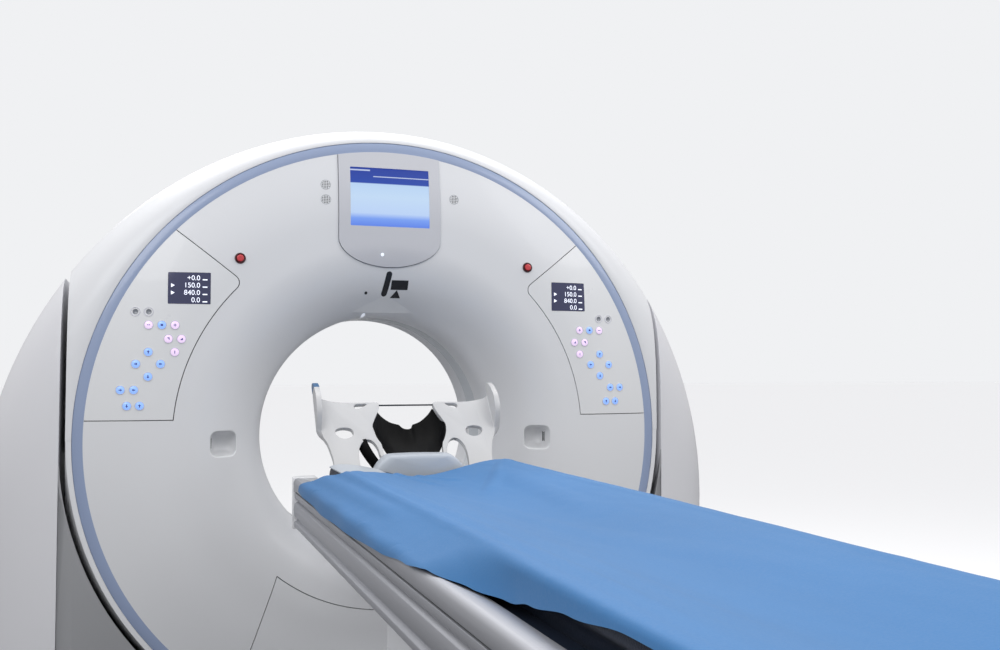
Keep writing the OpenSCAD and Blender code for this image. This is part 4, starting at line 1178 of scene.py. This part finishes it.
# The cloth's line down the left side from the pad's edge, over the rail and down the pad's own side
overRail = metres([(-259, -50), (-272, -60.5), (-287, -71.5), (-305, -83.5), (-322, -94.5), (-333, -100.5),
                   (-336.4, -108), (-337.6, -125), (-338, -170)])
downPad = metres([(-259, -50), (-264.5, -53.5), (-266.2, -60), (-266.4, -170)])
# How far down that line the hem lies, at places along the couch
hemReach = metres([(-591, 116.5), (-800, 122.5), (-1107, 129), (-1450, 124), (-1760, 111), (-1950, 98),
                   (-2040, 88), (-2120, 76), (-2200, 64), (-2290, 52), (-2450, 36), (-2640, 20),
                   (-2900, 16.5)])
leavesRail = (-1.99, -2.24)
# The cloth's front edge: how far along the couch it starts at places across it
frontEdge = metres([(-337.8, -700), (-334, -742), (-323, -800), (-306, -848), (-288, -884), (-275, -942),
                    (-266, -990), (-254, -1022), (-223, -1026), (-182, -992), (-128, -926), (-58, -850),
                    (0, -800), (60, -778), (270, -770)])


def alongPath(path, reach):  # the point at a distance down a line
    for (x0, z0), (x1, z1) in zip(path, path[1:]):
        run = hypot(x1 - x0, z1 - z0)
        if reach <= run or (x1, z1) == path[-1]:
            return x0 + (x1 - x0) * reach / run, z0 + (z1 - z0) * reach / run
        reach -= run


def hemAt(y):  # how far down its line the left hem lies
    for (y0, d0), (y1, d1) in zip(hemReach, hemReach[1:]):
        if y0 >= y >= y1:
            return d0 + (d1 - d0) * gentle((y0 - y) / (y0 - y1))
    return hemReach[-1][1]


def startAt(x):  # where the cloth starts at a place across the couch
    for (x0, y0), (x1, y1) in zip(frontEdge, frontEdge[1:]):
        if x <= x1:
            return y0 + (y1 - y0) * min(max((x - x0) / (x1 - x0), 0), 1)
    return frontEdge[-1][1]


def clothSection(y):  # the cloth's line across the couch, hem to tuck
    reach = hemAt(y)
    onRail = 1 - gentle((leavesRail[0] - y) / (leavesRail[0] - leavesRail[1]))
    line = []
    for k in range(cloth["flank"], -1, -1):
        down = reach * k / cloth["flank"]
        (ax, az), (bx, bz) = alongPath(overRail, down), alongPath(downPad, down)
        line.append((bx + (ax - bx) * onRail, bz + (az - bz) * onRail))
    line.append((-0.246, pad["top"] + 0.0035))
    line += [(-0.236 + 0.472 * k / 16, cradle(-0.236 + 0.472 * k / 16) + cloth["lift"]) for k in range(17)]
    line += [(0.248, pad["top"] + 0.0033), (0.258, pad["top"] + 0.0012), (0.2645, pad["top"] - 0.005),
             (0.2665, pad["top"] - 0.014), (0.2668, pad["top"] - cloth["rightDrop"])]
    return line


def alongLine(line, count):  # points evenly spaced along a line
    steps = [hypot(b[0] - a[0], b[1] - a[1]) for a, b in zip(line, line[1:])]
    total, spread, reached, i = sum(steps), [], 0.0, 0
    for k in range(count + 1):
        want = total * k / count
        while i < len(steps) - 1 and reached + steps[i] < want:
            reached += steps[i]
            i += 1
        t = min((want - reached) / steps[i], 1.0)
        (x0, z0), (x1, z1) = line[i], line[i + 1]
        spread.append((x0 + (x1 - x0) * t, z0 + (z1 - z0) * t))
    return spread


def ridge(x, y, start, end, width, height):  # a soft fold along a line on the couch
    run = Vector(end) - Vector(start)
    place = Vector((x, y)) - Vector(start)
    t = place.dot(run) / run.length_squared
    off = abs(run.x * place.y - run.y * place.x) / run.length
    fade = max(0.0, min(1.0, 6 * t, 6 * (1 - t)))
    return height * fade * max(0.0, 1 - (off / width) ** 2) ** 2


clothFolds = [
    ((-0.236, -0.80), (-0.205, -2.75), 0.022, 0.0045), ((-0.262, -0.85), (-0.250, -2.4), 0.012, 0.0030),
    ((0.255, -0.775), (0.02, -1.30), 0.030, 0.0060), ((-0.150, -0.77), (-0.02, -1.10), 0.026, 0.0050),
    ((-0.05, -0.77), (0.06, -1.00), 0.022, 0.0040), ((0.16, -0.90), (0.10, -1.80), 0.045, 0.0040),
    ((-0.300, -0.75), (-0.285, -1.75), 0.020, 0.0055), ((-0.10, -1.30), (0.14, -2.50), 0.050, 0.0035),
    ((0.225, -1.10), (0.235, -2.70), 0.016, 0.0030), ((-0.160, -1.60), (-0.12, -2.74), 0.040, 0.0030),
]
clothRows = []
for k in range(cloth["along"] + 1):
    v = k / cloth["along"]
    row = []
    section = clothSection(cloth["start"] + (cloth["rear"] - cloth["start"]) * v)
    for u, (x, z) in enumerate(alongLine(section, cloth["across"])):
        start = startAt(x)
        y = start + (cloth["rear"] - start) * v + cloth["ripple"] * noiseAt(x * 9, v * 2, 3.0) * (1 - v)
        rise = sum(ridge(x, y, *fold) for fold in clothFolds)
        rise += 0.0011 * (1 + noiseAt(x * 14, y * 3.0, 1.0)) + 0.0006 * noiseAt(x * 40, y * 16, 2.0)
        z -= 0.007 * gentle((cloth["end"] - y) / 0.016)
        if x < cloth["hangs"]:
            row.append((x - 0.35 * rise - 0.0016 * sin(y * 21), y, isoZ + z))
        elif u > cloth["tucked"] * cloth["across"]:
            row.append((x + 0.4 * rise, y, isoZ + z))
        else:
            row.append((x, y, isoZ + z + rise))
    clothRows.append(row)
sheet = loft("sheet_shown", clothRows, closed=False)
modify(sheet, "SOLIDIFY", thickness=cloth["thick"], offset=1.0)
dress(sheet, "sheet", "clothBlue", angle=70)
print("sheet")

# dark strips along the rails' grooves: painted shade where the grooves are deep
railGroove = {"x": 0.3235, "half": 0.0018, "low": -0.1457, "high": -0.1413, "from": -2.838, "to": -0.562}
grooveShades = [crate((side * railGroove["x"] - railGroove["half"], railGroove["from"], railGroove["low"]),
                (side * railGroove["x"] + railGroove["half"], railGroove["to"], railGroove["high"]))
          for side in (-1, 1)]
dress(joined("railGrooveShades", grooveShades), "side_rails", "shadowBlack", "railGrooveShades", 0)

plain = {  # CAD nodes that keep their form, by finish, each with its edge radius in mm
    "frameGrey": {"base_frame": 2, "collimator": 2, "counterweights": 2},
    "brightSteel": {"levelling_screws": 0, "tilt_bearings": 1, "bearing_outer_race": 0,
                    "bearing_inner_race": 0, "drive_magnets": 0, "xray_tube": 2},
    "castGrey": {"tilt_towers": 2, "cable_duct": 1.5, "tilt_frame": 0, "rotor_ring": 0, "heat_exchanger": 0,
                 "couch_frame": 1},
    "motorDark": {"tilt_motor": 1, "lift_motor": 2, "slide_drive": 0},
    "brass": {"tilt_pinion": 0, "tilt_sector": 0},
    # a grey of painted shade for the housing under the drum
    "surroundGrey": {"lower_surrounds": 0},
    "copper": {"drive_stator": 0, "brush_block": 1.5, "slip_ring": 0},
    "gantryWhite": {"drum_skirt": 0},
    "trimBlue": {"trim_rings": 0},
    "windowPale": {"bore_window": 0},
    "panelWhite": {"bore_lip": 4},
    "greenCase": {"detector": 1, "hv_generator": 3},
    "couchWhite": {"couch_base": 4, "lower_stage": 1, "mid_stage": 1, "upper_stage": 1, "front_end_cap": 6,
                   "rear_end_cap": 6, "tabletop": 3},
    "anodised": {"side_rails": 1.2},
}
for finish, nodes in plain.items():
    for node, edge in nodes.items():
        merged(node, finish, edge / 1000)
print("plain nodes")
